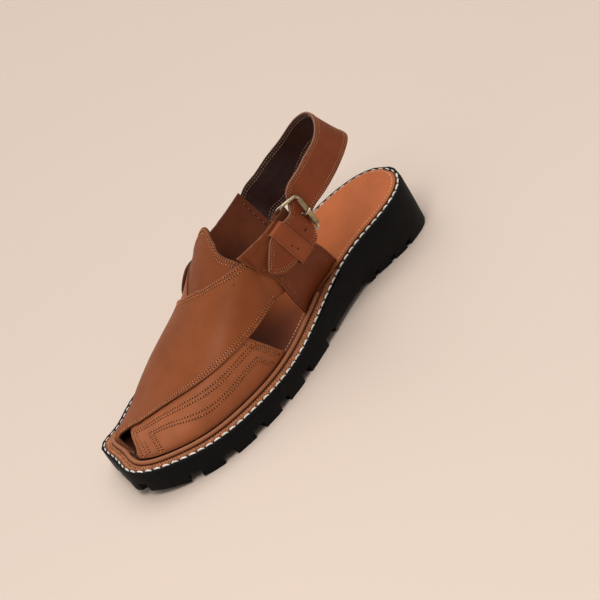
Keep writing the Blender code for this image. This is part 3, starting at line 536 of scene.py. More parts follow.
# %% [markdown]
# ## The sole's edge and the last
# A shoemaker builds on a last, the wooden foot inside the shoe. Here it is a surface of two
# numbers: the station along the shoe, and the turn, which runs from -1 at the inner foot line
# over 0 at the crown to +1 at the outer foot line. A band is then a flat pattern in these two
# numbers, as leather is cut flat and lasted over the form.

# %% Outline and edge height
FOOT_RISE = 2.1         # from the stitched edge up to the last's foot line
GAP = 0.3               # between pieces that lie on each other
FOOT_INSET = ((-150, 13.4), (36, 13.2), (66, 7.0))     # station, inset of the last's foot line
OUTLINE = (                                             # x, station, seen from above
    (7, 142), (21, 135), (30, 113), (29.5, 79), (35, 45), (46, 11),
    (57, -24), (62, -60), (58, -97), (45, -124), (33, -138), (21, -143),
    (-6, -138.5), (-25, -134.5), (-30.5, -130), (-35, -118), (-47, -97),
    (-57, -68), (-54, -27), (-48, 12), (-38, 45), (-36, 80), (-30, 112), (-15, 136),
)
EDGE = ((-150, 24), (-110, 19), (-60, 16.5), (0, 17), (60, 29.5), (145, 41))    # station, z
OUTLINE_FINE = closed_curve(OUTLINE, count=720)


def edge_height(y):
    """Height of the stitched edge at a place along the shoe."""
    return natural_spline(y, *np.transpose(EDGE))


def offset_outline(distance):
    """The outline moved outwards. Moved inwards, it loses the loops of its tight corners."""
    along = np.roll(OUTLINE_FINE, -1, 0) - np.roll(OUTLINE_FINE, 1, 0)
    outward = np.stack([-along[:, 1], along[:, 0]], 1) / np.linalg.norm(along, axis=1)[:, None]
    distance = np.broadcast_to(distance, len(OUTLINE_FINE))[:, None]
    moved = OUTLINE_FINE + outward * distance
    gap = np.linalg.norm(moved[:, None] - OUTLINE_FINE[None], axis=2).min(1)
    return moved[gap > np.abs(distance[:, 0]) - 0.05]


def seam_line(inset, lift, start_y=None):
    """A closed line on the sole's top at an inset from the outline, or its part before start_y,
    as points in space. It runs from the inner side round the toe to the outer side."""
    edge = offset_outline(-inset)
    edge = np.roll(edge, -edge[:, 1].argmax(), 0)
    edge = np.vstack([edge, edge[:1]]) if start_y is None else edge[edge[:, 1] < start_y]
    return np.column_stack([edge, edge_height(edge[:, 1]) + lift])


print("outline length in mm:", round(lengths(np.vstack([OUTLINE_FINE, OUTLINE_FINE[:1]]))[-1], 1))

# %% [markdown]
# Across, the last is a superellipse on each side, fuller or slimmer along the shoe, that leans
# outwards where the foot swells over its foot line. Its girth is measured along that curve, so a
# turn of half way stands half way round, however the section is shaped.

# %% The last
SECTIONS = (
    # station, crown x, crown z, fullness outer and inner, lean outer and inner
    (-130, -6, 26, 3.5, 1.8, -3, 6),
    (-92, 3, 38, 3.0, 1.8, -3, 7),
    (-60, 6, 57, 3.2, 1.8, -1, 6),
    (-25, 8, 78, 3.8, 1.9, 1, 9),
    (3, 8, 103, 4.4, 2.0, 5, 16),
    (35, 5, 115, 2.6, 3.6, 37, 42),
    (62, 2, 118, 2.6, 4.0, 39, 62),
)
SLANT, SLANT_START, SLANT_OVER = -0.16, -60, 60     # turn of the sections near the toe
SAMPLES, CROWDED = 49, 1.5              # samples of a side, closer together near the foot


def slant(station):
    """How much a section's plane is turned, so that the sections fan out round the toe."""
    return SLANT * np.clip((SLANT_START - station) / SLANT_OVER, 0, 1)


def foot_sides():
    """Foot line of the last as x against station, for the outer and the inner side."""
    foot = offset_outline(-np.interp(OUTLINE_FINE[:, 1], *np.transpose(FOOT_INSET)))
    station, rounds = foot[:, 1].copy(), 60
    for _ in range(rounds):             # station + slant * x = y, halfway nearer each time
        station = (station + foot[:, 1] - slant(station) * foot[:, 0]) / 2
    front, back = station.argmin(), station.argmax()
    sides = {}
    for step in (1, -1):
        count = (step * (back - front)) % len(foot)
        index = (front + step * np.arange(count + 1)) % len(foot)
        reach = np.maximum.accumulate(station[index])
        rising = np.r_[True, reach[1:] > reach[:-1] + 1e-9]
        x = foot[index, 0][rising]
        sides[1 if x.mean() > 0 else -1] = station[index][rising], x
    return sides, station[front]


FOOT_SIDES, TOE = foot_sides()
TOE += 0.3              # the first station that has both sides


def section_value(station, column):
    """A column of SECTIONS at a station: the crown on a spline, the rest on straight lines."""
    table = np.array(SECTIONS, float)
    if column < 3:
        return natural_spline(station, table[:, 0], table[:, column])
    return np.interp(station, table[:, 0], table[:, column])


def half_section(station, outer, angle):
    """A superellipse whose side leans outwards: rise = sin(angle)^(2/full),
    x = crown + (foot + lean * rise - crown) * cos(angle)^(2/full), z = foot + height * rise."""
    crown_x, crown_z = section_value(station, 1), section_value(station, 2)
    full = np.where(outer, section_value(station, 3), section_value(station, 4))
    lean = np.where(outer, section_value(station, 5), -section_value(station, 6))
    foot = np.where(outer, np.interp(station, *FOOT_SIDES[1]), np.interp(station, *FOOT_SIDES[-1]))
    foot_z = edge_height(station + slant(station) * foot) + FOOT_RISE
    reach, rise = np.cos(angle)**(2 / full), np.sin(angle)**(2 / full)
    x = crown_x + (foot + lean * rise - crown_x) * reach
    return np.stack([x, station + slant(station) * x, foot_z + (crown_z - foot_z) * rise], -1)


def half_girth(station, outer):
    """Distances along a half section from foot to crown, and the angles they stand at."""
    angle = np.linspace(0, 1, SAMPLES)**CROWDED * np.pi / 2
    angle = np.broadcast_to(angle, station.shape + (SAMPLES,))
    points = half_section(station[..., None], outer[..., None], angle)
    step = np.linalg.norm(np.diff(points, axis=-2), axis=-1)
    run = np.concatenate([np.zeros(station.shape + (1,)), np.cumsum(step, -1)], -1)
    return run, angle, points


print("the last runs from station", round(float(TOE), 1), "and is", SAMPLES, "samples round a side")

# %% [markdown]
# With the girth known, any pair of station and turn gives a point of the last, its normal comes
# from four neighbours, and leather of any thickness can be laid on it.

# %% Places on the last


def read_rows(at, rows, values):
    """Interpolation in which every place has its own row of knots."""
    index = np.clip((rows < at[..., None]).sum(-1) - 1, 0, rows.shape[-1] - 2)
    pick = lambda table, shift: np.take_along_axis(table, (index + shift)[..., None], -1)[..., 0]
    low, high = pick(rows, 0), pick(rows, 1)
    share = np.clip((at - low) / np.maximum(high - low, 1e-9), 0, 1)
    return pick(values, 0) + share * (pick(values, 1) - pick(values, 0))


def last_point(station, turn):
    """Point of the last. turn is the share of the half girth: -1 inner foot, 0 crown, 1 outer."""
    station, turn = np.broadcast_arrays(np.asarray(station, float), np.asarray(turn, float))
    outer = turn >= 0
    run, angle, _ = half_girth(station, outer)
    return half_section(station, outer, read_rows((1 - np.abs(turn)) * run[..., -1], run, angle))


def turn_at(station, z, side):
    """The turn at which one side of a section stands at height z."""
    station, z = np.broadcast_arrays(np.asarray(station, float), np.asarray(z, float))
    run, _, points = half_girth(station, np.full(station.shape, side > 0))
    return side * (1 - read_rows(z, points[..., 2], run) / run[..., -1])


def last_normal(station, turn):
    """Outward normal of the last, by finite differences."""
    station, turn = np.broadcast_arrays(np.asarray(station, float), np.asarray(turn, float))
    ahead, around = 1.0, 0.02
    middle = np.clip(turn, around - 1, 1 - around)
    long_way = last_point(station + ahead, middle) - last_point(station - ahead, middle)
    cross_way = last_point(station, middle + around) - last_point(station, middle - around)
    return unit(np.cross(cross_way, long_way))


def on_last(station, turn, offset):
    """Point at a height above the last's surface."""
    return last_point(station, turn) + last_normal(station, turn) * np.asarray(offset)[..., None]


print("crown at station 0 in mm:", last_point(np.zeros(1), 0)[0].round(1).tolist())

# %% [markdown]
# ## The crossed bands
# Each panel is a patch between four edges in (station, turn), a Coons patch: the two straight
# blends of opposite edges are added and the blend of the corners taken away. The leather is then
# raised from it to both sides. Its thickness falls to nothing at the rim along a rounded
# profile, so the mesh closes without a rim of its own and the edge looks folded or rubbed.

# %% Patterns of the five panels
OVER_BAND = dict(
    leading=((TOE, -1.0), (TOE, -0.33), (-117, -0.07), (-105, 0.15), (-93, 0.31), (-82, 0.45),
             (-72, 0.53), (-58, 0.57), (-41, 0.585), (-17, 0.63), (7, 0.70), (18, 0.74)),
    trailing=((-12, -1.0), (-16, -0.85), (-19, -0.68), (-26, -0.50), (-31, -0.33),
              (-30, -0.18), (-24, 0.01), (-14, 0.21), (-3, 0.29), (8, 0.35)),
)
UNDER_BAND = dict(
    leading=((TOE, 1.0), (TOE, 0.88), (-122, 0.18), (-117, -0.10), (-106, -0.29), (-93, -0.42),
             (-72, -0.54), (-41, -0.60), (-10, -0.66), (10, -0.73), (18, -0.76)),
    trailing=((-12, 1.0), (-16, 0.92), (-23, 0.77), (-30, 0.61), (-33, 0.35), (-32, 0.05),
              (-30, -0.17), (-18, -0.32), (3, -0.48), (16, -0.54)),
)
TONGUE = dict(
    leading=((-52, -0.30), (-20, -0.42), (8, -0.52)),
    trailing=((-48, 0.27), (-22, 0.36), (3, 0.42)),
    end=((8, -0.52), (3, -0.42), (2.5, -0.30), (5, -0.21), (7, -0.13), (4, -0.05), (-2, 0.04),
         (-5, 0.17), (-2, 0.29), (3, 0.42)),
)
OUTER_QUARTER = dict(
    leading=((19, 1.0), (17, 0.95), (12, 0.72), (8, 0.51), (1, 0.39), (-2, 0.26)),
    trailing=((63, 1.0), (61, 0.95), (57, 0.84), (51, 0.71), (44.5, 0.62), (38, 0.54), (35, 0.45),
              (35, 0.335)),
    end=((-2, 0.26), (11, 0.31), (25, 0.335), (35, 0.335)),
)
INNER_QUARTER = dict(
    leading=((12, -1.0), (2, -0.90), (-10, -0.78), (-17, -0.66), (-9, -0.57), (5, -0.54)),
    trailing=((64, -1.0), (64, -0.84), (62, -0.67)),
    end=((5, -0.54), (25, -0.595), (45, -0.635), (62, -0.67)),
)
PANEL, STACKED, FLAP, UPRIGHT = 2.0, 1.2, 7.5, 2.5     # thickness, and rises over other panels
TURN_MM = 100.0                        # one turn taken as so many millimetres in a pattern
CORNER_ROWS, CORNER_STEPS = 30, 2      # a band's first edge row takes two of thirty steps
TOE_POINTS, EDGE_POINTS = 9, 400       # read on a band's toe line, and on any other edge


def edge_table(rows):
    """An edge as (share along it, station, turn), dense. A band's toe line comes first."""
    if rows[0][0] == TOE:
        toe, rest = resample(rows[:2], TOE_POINTS), curve(rows[1:], EDGE_POINTS, (1, TURN_MM))
        corner = CORNER_STEPS / (CORNER_ROWS - 1)
        share = np.r_[np.linspace(0, corner, TOE_POINTS)[:-1], np.linspace(corner, 1, EDGE_POINTS)]
        return np.column_stack([share, np.vstack([toe[:-1], rest])])
    line = curve(rows, EDGE_POINTS, (1, TURN_MM))
    return np.column_stack([np.linspace(0, 1, EDGE_POINTS), line])


def patch(panel, u, v):
    """Station and turn at a share u from the foot to the end and v from leading to trailing."""
    leading, trailing = edge_table(panel["leading"]), edge_table(panel["trailing"])
    corners = [table[k, 1:] for table in (leading, trailing) for k in (0, -1)]
    foot = np.column_stack([(0, 1), (corners[0], corners[2])])
    end = edge_table(panel["end"]) if "end" in panel else \
        np.column_stack([(0, 1), (corners[1], corners[3])])
    at_lead, at_trail, at_foot, at_end = (
        read_at(share, table[:, 0], table[:, 1:])
        for share, table in ((u, leading), (u, trailing), (v, foot), (v, end)))
    u, v = np.asarray(u)[..., None], np.asarray(v)[..., None]
    grid = (1 - v) * at_lead + v * at_trail + (1 - u) * at_foot + u * at_end
    grid = grid - (1 - u) * ((1 - v) * corners[0] + v * corners[2])
    grid = grid - u * ((1 - v) * corners[1] + v * corners[3])
    return grid[..., 0], grid[..., 1]


print("patterns: over band, under band, tongue, outer quarter, inner quarter")

# %% [markdown]
# Where panels lie over each other, the upper one has to climb. A rise is a smooth height over
# the last, a step up where another panel's edge lies below, so no two sheets cross.

# %% Rises of the panels


def flat_rise(station, turn):
    """The under band lies straight on the last."""
    return 0.0 * station


def over_rise(station, turn):
    """The over band starts on its inner foot and climbs over the under band."""
    return STACKED * smooth_step(turn, -0.98, -0.75)


def tongue_rise(station, turn):
    """The tongue lies one panel lower, under both bands."""
    return 0.0 * station - STACKED


def outer_rise(station, turn):
    """The outer quarter covers the over band's end and comes down to its foot and its back."""
    covering = 2 * STACKED * (1 - smooth_step(station, 20, 44)) * smooth_step(-turn, -0.99, -0.88)
    return covering + UPRIGHT * smooth_step(station, 4, 30) * (1 - smooth_step(turn, 0.42, 0.62))


def inner_rise(station, turn):
    """The inner quarter lies on the under band's end. Its front edge stands off as a free flap."""
    lying = STACKED * (1 - smooth_step(station, 20, 44)) * smooth_step(turn, -0.99, -0.9)
    return lying + FLAP * (1 - smooth_step(station, -6, 14)) * smooth_step(turn, -0.97, -0.75)


print("the inner quarter's free edge stands off in mm:", inner_rise(-17.0, -0.66).round(2))

# %% [markdown]
# The last leather laid on covers the others without being sewn down along its front edge, so
# that edge stands off a little and throws a line of shadow. A small curl near the edge does it.
# The outer quarter's top edge is turned over a cord, which a swelling with a groove behind shows.

# %% Curled and rolled edges


def curled(panel, rise, height, reach, ends=None):
    """The same rise with the leading edge standing off: height * (1 - step(gap / reach)), the
    gap measured to the leading edge in the plane of (station, turn * 100). It fades between the
    two stations of ends."""
    every = 4
    front = edge_table(panel["leading"])[::every, 1:] * (1, TURN_MM)

    def rise_with_curl(station, turn):
        flat = np.stack([station + 0.0 * turn, turn * TURN_MM], -1)
        gap = np.full(flat.shape[:-1], np.inf)
        for point in front:
            gap = np.minimum(gap, np.linalg.norm(flat - point, axis=-1))
        fade = 1 - smooth_step(station, *ends) if ends else 1.0
        return rise(station, turn) + height * (1 - smooth_step(gap, 0, reach)) * fade
    return rise_with_curl


def rolled_edge(away):
    """Extra half thickness of a padded edge: a half round 5 mm wide, 0.6 * sqrt(1 - s^2), and a
    groove of 0.3 mm behind it, a bell curve 6 mm from the edge."""
    roll = np.clip(1 - ((away - 2.6) / 2.7)**2, 0, None)**0.5
    return 0.6 * roll - 0.3 * np.exp(-((away - 6.0) / 0.7)**2)


print("the rolled edge is up to", rolled_edge(np.linspace(0, 8, 81)).max().round(2), "mm thicker")

# %% [markdown]
# A panel is read as a grid whose outer rings keep fixed distances from the edge, so the rounded
# edge has enough points and the middle doesn't have too many. Face and back share the rim's
# points, which closes the sheet.

# %% One panel of leather
EDGE_RINGS = np.array((0, 0.06, 0.2, 0.45, 0.8, 1.3, 2.0))     # mm from the rim
EDGE_ROUND = 0.9


def ringed(length, count):
    """Places along a row of a length: rings at fixed distances at both ends, even between."""
    rings = EDGE_RINGS / length[..., None]
    start, stop = rings[..., -1:], 1 - rings[..., -1:]
    even = np.linspace(0, 1, count)[1:-1]
    middle = start + (stop - start) * even
    return np.concatenate([rings, middle, 1 - rings[..., ::-1]], -1)


def run_across(points):
    """Distance along each row of a grid of points."""
    step = np.linalg.norm(np.diff(points, axis=1), axis=-1)
    return np.concatenate([np.zeros((len(points), 1)), np.cumsum(step, 1)], 1)


def rim_distance(points):
    """Distance to the nearest of a grid's four edges, measured along its rows and columns."""
    across, down = run_across(points), run_across(points.swapaxes(0, 1)).T
    return np.minimum.reduce([across, across[:, -1:] - across, down, down[-1:] - down])


def rounded(distance, radius=EDGE_ROUND, power=2.4):
    """Profile of an edge: 0 at the rim and 1 inside, height^p + (1 - distance / radius)^p = 1."""
    near = 1 - np.clip(distance / radius, 0, 1)
    return np.clip(1 - near**power, 0, 1)**(1 / power)


def panel_widths(panel, count):
    """Even shares, and the panel's length and width at each, measured on the last."""
    even = np.linspace(0, 1, count)
    rough = last_point(*patch(panel, *np.meshgrid(even, even, indexing="ij")))
    return even, run_across(rough.swapaxes(0, 1))[:, -1], run_across(rough)[:, -1]


def panel_shares(panel, rows, columns):
    """Grid of u and v whose rings lie at fixed distances from the panel's edges."""
    even, long_way, cross_way = panel_widths(panel, count=33)
    a = np.linspace(0, 1, rows + 2 * len(EDGE_RINGS) - 2)
    b = np.linspace(0, 1, columns + 2 * len(EDGE_RINGS) - 2)
    u = ringed(np.interp(b, even, long_way), rows).T
    v = ringed(np.interp(a, even, cross_way), columns)
    return u, v


def panel_faces(panel, rise, u, v, swell=None):
    """Outer and inner face of a panel at shares u, v, and the distance from its rim."""
    station, turn = patch(panel, u, v)
    lift = rise(station, turn)
    base, normal = last_point(station, turn), last_normal(station, turn)
    middle = base + normal * (lift + PANEL / 2)[..., None]
    rim = rim_distance(middle)
    half = rounded(rim) * PANEL / 2
    if swell:
        down = run_across(middle.swapaxes(0, 1)).T
        half = half + swell(down[-1:] - down) * rounded(rim, 1.6)
    faces = [middle + normal * half[..., None], middle - normal * half[..., None]]
    for face in faces:
        face[..., 2] = np.maximum(face[..., 2], edge_height(face[..., 1]) + FOOT_RISE)
    return faces[0], faces[1], rim


def closed_sheet(outer, inner):
    """Points and faces of two grids that meet along their rim. The rim's points are shared."""
    rows, columns = outer.shape[:2]
    index = np.arange(rows * columns).reshape(rows, columns)
    below = np.full((rows, columns), -1)
    below[1:-1, 1:-1] = rows * columns + np.arange((rows - 2) * (columns - 2)).reshape(
        rows - 2, columns - 2)
    below = np.where(below < 0, index, below)
    points = np.vstack([outer.reshape(-1, 3), inner[1:-1, 1:-1].reshape(-1, 3)])
    quad = grid_faces(rows, columns)
    return points, quad, below.ravel()[quad][:, ::-1]


def leather_sheet(name, outer, inner, rim, slot, looks, replaces, turned=False):
    """A closed piece of leather with its face and its back in two finishes."""
    points, face, back = closed_sheet(outer, inner)
    faces = np.vstack([face, back])
    rim = np.r_[rim.ravel(), rim[1:-1, 1:-1].ravel()]
    return new_piece(name, points, faces[:, ::-1] if turned else faces, looks, slot, replaces,
                     rim=rim)


print("rings at both ends of a row, in mm from the rim:", EDGE_RINGS.tolist())

# %% [markdown]
# Now the five panels are made in one loop. Two bands cross over the forefoot, the tongue lies
# under them, and the quarters close the sides. A pattern can run either way round, so a small
# step in both directions tells whether its faces have to be turned.

# %% The five panels
band_curl = curled(OVER_BAND, over_rise, height=0.9, reach=6, ends=(-22, -6))
quarter_curl = curled(OUTER_QUARTER, outer_rise, height=1.5, reach=7.5)
PANELS = {      # pattern, rise, rows, columns
    "over_band": (OVER_BAND, band_curl, 120, 56),
    "under_band": (UNDER_BAND, flat_rise, 120, 56),
    "tongue": (TONGUE, tongue_rise, 40, 60),
    "outer_quarter": (OUTER_QUARTER, quarter_curl, 56, 40),
    "inner_quarter": (INNER_QUARTER, inner_rise, 46, 40),
}
HIDES = {"under_band": UNDER_LEATHER, "outer_quarter": QUARTER_LEATHER, "tongue": TONGUE_LEATHER}


def facing(panel):
    """Whether the grid's own faces point away from the last, from one small step each way."""
    u, v = np.array([0.5, 0.5, 0.51]), np.array([0.5, 0.51, 0.5])
    points = last_point(*patch(panel, u, v))
    normal = last_normal(*(value[:1] for value in patch(panel, u, v)))[0]
    return np.dot(np.cross(points[1] - points[0], points[2] - points[0]), normal) > 0


for name, (panel, rise, rows, columns) in PANELS.items():
    u, v = panel_shares(panel, rows, columns)
    outer, inner, rim = panel_faces(panel, rise, u, v,
                                    swell=rolled_edge if name == "outer_quarter" else None)
    hides = HIDES.get(name, UPPER_LEATHER), PANEL_BACK
    leather_sheet(name, outer, inner, rim, "upper_leather", hides, "upper",
                  turned=not facing(panel))

# %% [markdown]
# ## The outer quarter's fold
# The outer quarter is thinned and folded round the front bar of the buckle. In the frame this
# fold is part of the upper, so here it is its own sheet: it starts inside the quarter, comes out
# over the bar, goes round behind it and back to the lining. A slot lets the prong through.

# %% Places on the outer quarter
ACROSS = 5                                          # points across a strap's rows
HEIGHTS = np.linspace(50, 108, 80)                  # of the side, read to find its face
FRONT_BAR = np.array([(44.5, 39.3, 105.3), (45.3, 42.5, 76.5)])
REAR_BAR = np.array([(48.6, 52.2, 106.5), (50.2, 54.2, 76.8)])
TAB, BAR_RADIUS = 1.5, 1.2
FOLD = BAR_RADIUS + GAP + TAB / 2
TAB_START = ((28.5, 101.8), (31.5, 78.8))           # y and z of the fold's root, top and low
TAB_DEPTH, TAB_REACH = (0.9, 2.55), (0.03, 0.93)    # into the quarter, and along the bar
TAB_ROUND, TAB_STEPS = (90, -80), 18                # degrees round the bar, and rows there


def over_quarter(y, z, lift):
    """Point on the outer side, a distance above the outer quarter's outer face."""
    turn = turn_at(y, z, 1)
    return on_last(y, turn, outer_rise(y, turn) + PANEL + lift)


def quarter_x(y, z, lift):
    """How far out the outer quarter's face, raised by a lift, stands at a place."""
    faces = over_quarter(np.full(len(HEIGHTS), float(y)), HEIGHTS, lift)
    return np.interp(z, np.maximum.accumulate(faces[:, 2]), faces[:, 0])


def quarter_row(top, low, lift):
    """A row of points on the outer quarter's face from a top to a low place."""
    row = np.linspace(top, low, ACROSS)
    return np.array([(quarter_x(y, z, lift), y, z) for y, z in row])


def along_bar(bar, share):
    """Points at shares of a bar: first end * (1 - share) + second end * share."""
    share = np.atleast_1d(share)[:, None]
    return bar[0] * (1 - share) + bar[1] * share


def refine(grid, rows, columns):
    """A grid read finer: a smooth curve along every column, then one along every row."""
    grid = np.stack([curve(grid[:, j], rows) for j in range(grid.shape[1])], 1)
    share, knots = np.linspace(0, 1, columns), np.linspace(0, 1, grid.shape[1])
    return np.stack([read_at(share, knots, row, natural_spline) for row in grid])


def grid_normal(grid):
    """Unit normals: the step from row to row crossed with the step from column to column."""
    return unit(np.cross(np.gradient(grid, axis=0), np.gradient(grid, axis=1)))


def ring_columns(grid):
    """The same sheet with its columns moved: rings near both long edges, even between."""
    run = run_across(grid)
    share = ringed(run[:, -1], grid.shape[1])
    at = share * run[:, -1:]
    return np.stack([read_at(*places) for places in zip(at, run, grid)])


def ring_rows(grid):
    """The same with its rows moved."""
    return ring_columns(grid.swapaxes(0, 1)).swapaxes(0, 1)


def strip_faces(middle, thickness, radius, power=2.4):
    """Both faces of a strap round its middle surface, and the distance from its rim."""
    middle = ring_rows(ring_columns(middle))
    normal, rim = grid_normal(middle), rim_distance(middle)
    half = rounded(rim, radius, power) * thickness / 2
    return middle + normal * half[..., None], middle - normal * half[..., None], rim


print("fold radius in mm:", FOLD, " bars:", FRONT_BAR.tolist(), REAR_BAR.tolist())

# %% [markdown]
# Holes and slots are cut with a Boolean modifier, worked out at once, because a hole punched
# through leather has a crisp wall that a grid can't follow. The block that cuts carries the
# near-black finish that the hole's wall gets, painted shade in the hole.

# %% The fold and its slot


def worked_out(piece):
    """The piece's mesh with its modifiers applied."""
    view = bpy.context.evaluated_depsgraph_get()
    return bpy.data.meshes.new_from_object(piece.evaluated_get(view))


def cut(target, *cutters):
    """Boolean difference. The cutters are removed."""
    for cutter in cutters:
        change = target.modifiers.new("cut", "BOOLEAN")
        change.operation, change.solver, change.object = "DIFFERENCE", "EXACT", cutter
        mesh = worked_out(target)
        target.modifiers.remove(change)
        target.data = mesh
        bpy.data.objects.remove(cutter, do_unlink=True)
    shade_smooth(target.data, 50)


def oval_rod(centre, half_long, half_high, reach, sides=28):
    """A rod along X with an oval section, long in Y, to cut holes with."""
    turn = np.linspace(0, 2 * np.pi, sides, endpoint=False)
    ring = np.stack([0 * turn, half_long * np.cos(turn), half_high * np.sin(turn)], 1)
    points = np.vstack([ring + centre + (-reach, 0, 0), ring + centre + (reach, 0, 0)])
    return linked("cutter", new_mesh("cutter", points, tube_faces(2, sides), HOLE_DARK))


def fold_middle():
    """Out of the quarter, round the front bar in a circle of the fold's radius, and back."""
    start = quarter_row(*TAB_START, -TAB_DEPTH[0])
    axis = along_bar(FRONT_BAR, np.linspace(*TAB_REACH, ACROSS))
    loop = [axis + FOLD * np.array([np.sin(angle), np.cos(angle), 0])
            for angle in np.radians(np.linspace(*TAB_ROUND, TAB_STEPS))]
    back = quarter_row(*TAB_START, -TAB_DEPTH[1])
    return refine(np.array([start, (start + loop[0]) / 2, *loop, back]), rows=70, columns=30)


PRONG_Z = 90.0
PRONG_SHARE = (FRONT_BAR[0][2] - PRONG_Z) / (FRONT_BAR[0][2] - FRONT_BAR[1][2])
SLOT = along_bar(FRONT_BAR, PRONG_SHARE)[0]
fold = leather_sheet("buckle_fold", *strip_faces(fold_middle(), TAB, radius=0.7),
                     "upper_leather", (QUARTER_LEATHER, PANEL_BACK), "upper")
cut(fold, oval_rod(SLOT, half_long=5.0, half_high=2.2, reach=6))

# %% [markdown]
# ## Heel strap
# One long strap starts on the inner quarter, rises round the back of the heel, comes down
# through the buckle and ends in a point under the keeper. It is brown outside and very dark
# inside, and its cut edges are pale. Its middle line is a table of rows, each with the strap's
# top and low edge, and smooth curves join the rows.

# %% Heel strap
STRAP_THICK, LYING_ROOM, INNER_ROOM = 2.0, 0.6, (0.5, 0.9, 1.9)
LYING_IN = ((38, 70, 41, 47), (50, 71, 54, 48), (61, 71.5, 66, 49))     # y z at top, y z low
FREE = (                                                                # top point, low point
    (-58.2, 67, 75, -46, 72.5, 50.6), (-52.8, 75, 80, -39.5, 79, 54.8),
    (-45.5, 87, 88, -33.5, 90, 62.6), (-36, 98, 96, -31, 102.5, 72.6),
    (-19, 108, 110, -17, 115.5, 87), (0, 112, 118, 4, 121, 93), (19, 103, 117.5, 21, 119, 95),
    (29, 91, 116, 32, 104, 93), (37.5, 75, 116.5, 41, 85, 91.5), (43, 63, 116, 46, 69, 90.5),
    (44.3, 53, 114, 46.2, 55.2, 85.8), (44.2, 48, 109.4, 47.2, 51.6, 81.6),
    (44.9, 45.8, 103.4, 50.0, 50.4, 79.4), (46.5, 44.0, 101.6, 51.5, 49.4, 76.2),
    (49.0, 41, 99.8, 51.4, 46.4, 71.2),
)
LYING_OUT = (                                   # the same over the outer quarter, x at least
    (48.6, 33, 98.4, 50.2, 40.5, 69.7), (48.0, 26, 97.0, 49.8, 33.5, 70),
    (48.0, 20, 94.8, 49.6, 27, 68.5), (48.2, 14, 88.5, 49.4, 19.5, 68.5),
    (48.6, 9.5, 83, 49.2, 12, 71), (48.8, 6.3, 78.2, 48.9, 7, 75.8),
)
STRAP_ROWS, STRAP_COLUMNS = 420, 21


def strap_middle():
    """The strap's rows on the inner quarter, free round the heel, and on the outer quarter."""
    rows = []
    for row, room in zip(LYING_IN, INNER_ROOM):
        edge = np.linspace(row[:2], row[2:], ACROSS)
        turn = turn_at(edge[:, 0], edge[:, 1], -1)
        lift = inner_rise(edge[:, 0], turn) + PANEL + room + STRAP_THICK / 2
        rows.append(on_last(edge[:, 0], turn, lift))
    rows += [np.linspace(row[:3], row[3:], ACROSS) for row in FREE]
    for row in LYING_OUT:
        edge = np.linspace(row[:3], row[3:], ACROSS)
        lift = LYING_ROOM + STRAP_THICK / 2
        edge[:, 0] = [max(x, quarter_x(y, z, lift)) for x, y, z in edge]
        rows.append(edge)
    return refine(np.array(rows), STRAP_ROWS, STRAP_COLUMNS)


STRAP_MIDDLE = strap_middle()
strap_faces = strip_faces(STRAP_MIDDLE, STRAP_THICK, radius=0.75, power=3.4)
heel_strap = leather_sheet("heel_strap_leather", *strap_faces, "heel_strap_leather",
                           (STRAP_LEATHER, LINING), "heel_strap")
PRONG_HOLE, SPARE_HOLE = (47.1, 49.8, PRONG_Z + 1.1), (52.6, 44.0, 83.0)
cut(heel_strap, oval_rod(PRONG_HOLE, half_long=1.7, half_high=1.2, reach=3),
    oval_rod(SPARE_HOLE, half_long=1.35, half_high=1.0, reach=3))

# %% [markdown]
# ## Keeper
# The keeper is a short band that holds the strap's end down. Its legs go down into the quarter,
# where they are stitched through it, though those stitches aren't made here, and two punched holes
# show on its face.

# %% Keeper
KEEPER_THICK, KEEPER_BEND, KEEPER_ROOM, KEEPER_FOOT = 1.2, 0.5, 0.45, 1.0
KEEPER_TOP = ((51.0, 20.6, 98.2), (51.3, 32.5, 101.0))     # front and rear corner, top leg
KEEPER_LOW = ((51.9, 29.0, 65.5), (52.4, 41.5, 69.0))      # the same, low leg
KEEPER_TUCK, KEEPER_LEG = (-1.2, 0), 1.5                   # rise of the feet, least leg
KEEPER_SHARES = (0.02, 0.27, 0.5, 0.73, 0.98)              # rows across the strap
KEEPER_ROWS, KEEPER_COLUMNS, KEEPER_SOFTER = 90, 24, 6     # grid, rounds of smoothing


def keeper_middle():
    """Up the top leg from the quarter, across the strap, down the low leg."""
    rows, lines = [], [np.linspace(*np.array(ends, float), 4) for ends in (KEEPER_TOP, KEEPER_LOW)]
    for line, tuck in zip(lines, KEEPER_TUCK):
        foot = line.copy()
        foot[:, 2] += tuck
        foot[:, 0] = [quarter_x(y, z, KEEPER_FOOT) for x, y, z in foot]
        foot[:, 0] = np.minimum(foot[:, 0], line[:, 0] - KEEPER_LEG)
        rows.append((foot, line - (KEEPER_BEND, 0, 0)))
    across = [lines[0] * (1 - share) + lines[1] * share for share in KEEPER_SHARES]
    over_strap = LYING_ROOM + STRAP_THICK + KEEPER_ROOM + KEEPER_THICK / 2
    for line in across[1:-1]:
        line[:, 0] = [max(x, quarter_x(y, z, over_strap)) for x, y, z in line]
    rough = np.array([rows[0][0], rows[0][1], *across, rows[1][1], rows[1][0]])
    soft = np.stack([resample(rough[:, j], KEEPER_ROWS) for j in range(rough.shape[1])], 1)
    for _ in range(KEEPER_SOFTER):
        soft[1:-1] = (soft[:-2] + 2 * soft[1:-1] + soft[2:]) / 4
    share, knots = np.linspace(0, 1, KEEPER_COLUMNS), np.linspace(0, 1, soft.shape[1])
    return np.stack([read_at(share, knots, row) for row in soft])


KEEPER_MIDDLE = keeper_middle()
keeper_faces = strip_faces(KEEPER_MIDDLE, KEEPER_THICK, radius=0.55)
keeper = leather_sheet("keeper_band", *keeper_faces, "keeper_leather",
                       (KEEPER_LEATHER, PANEL_BACK), "keeper")


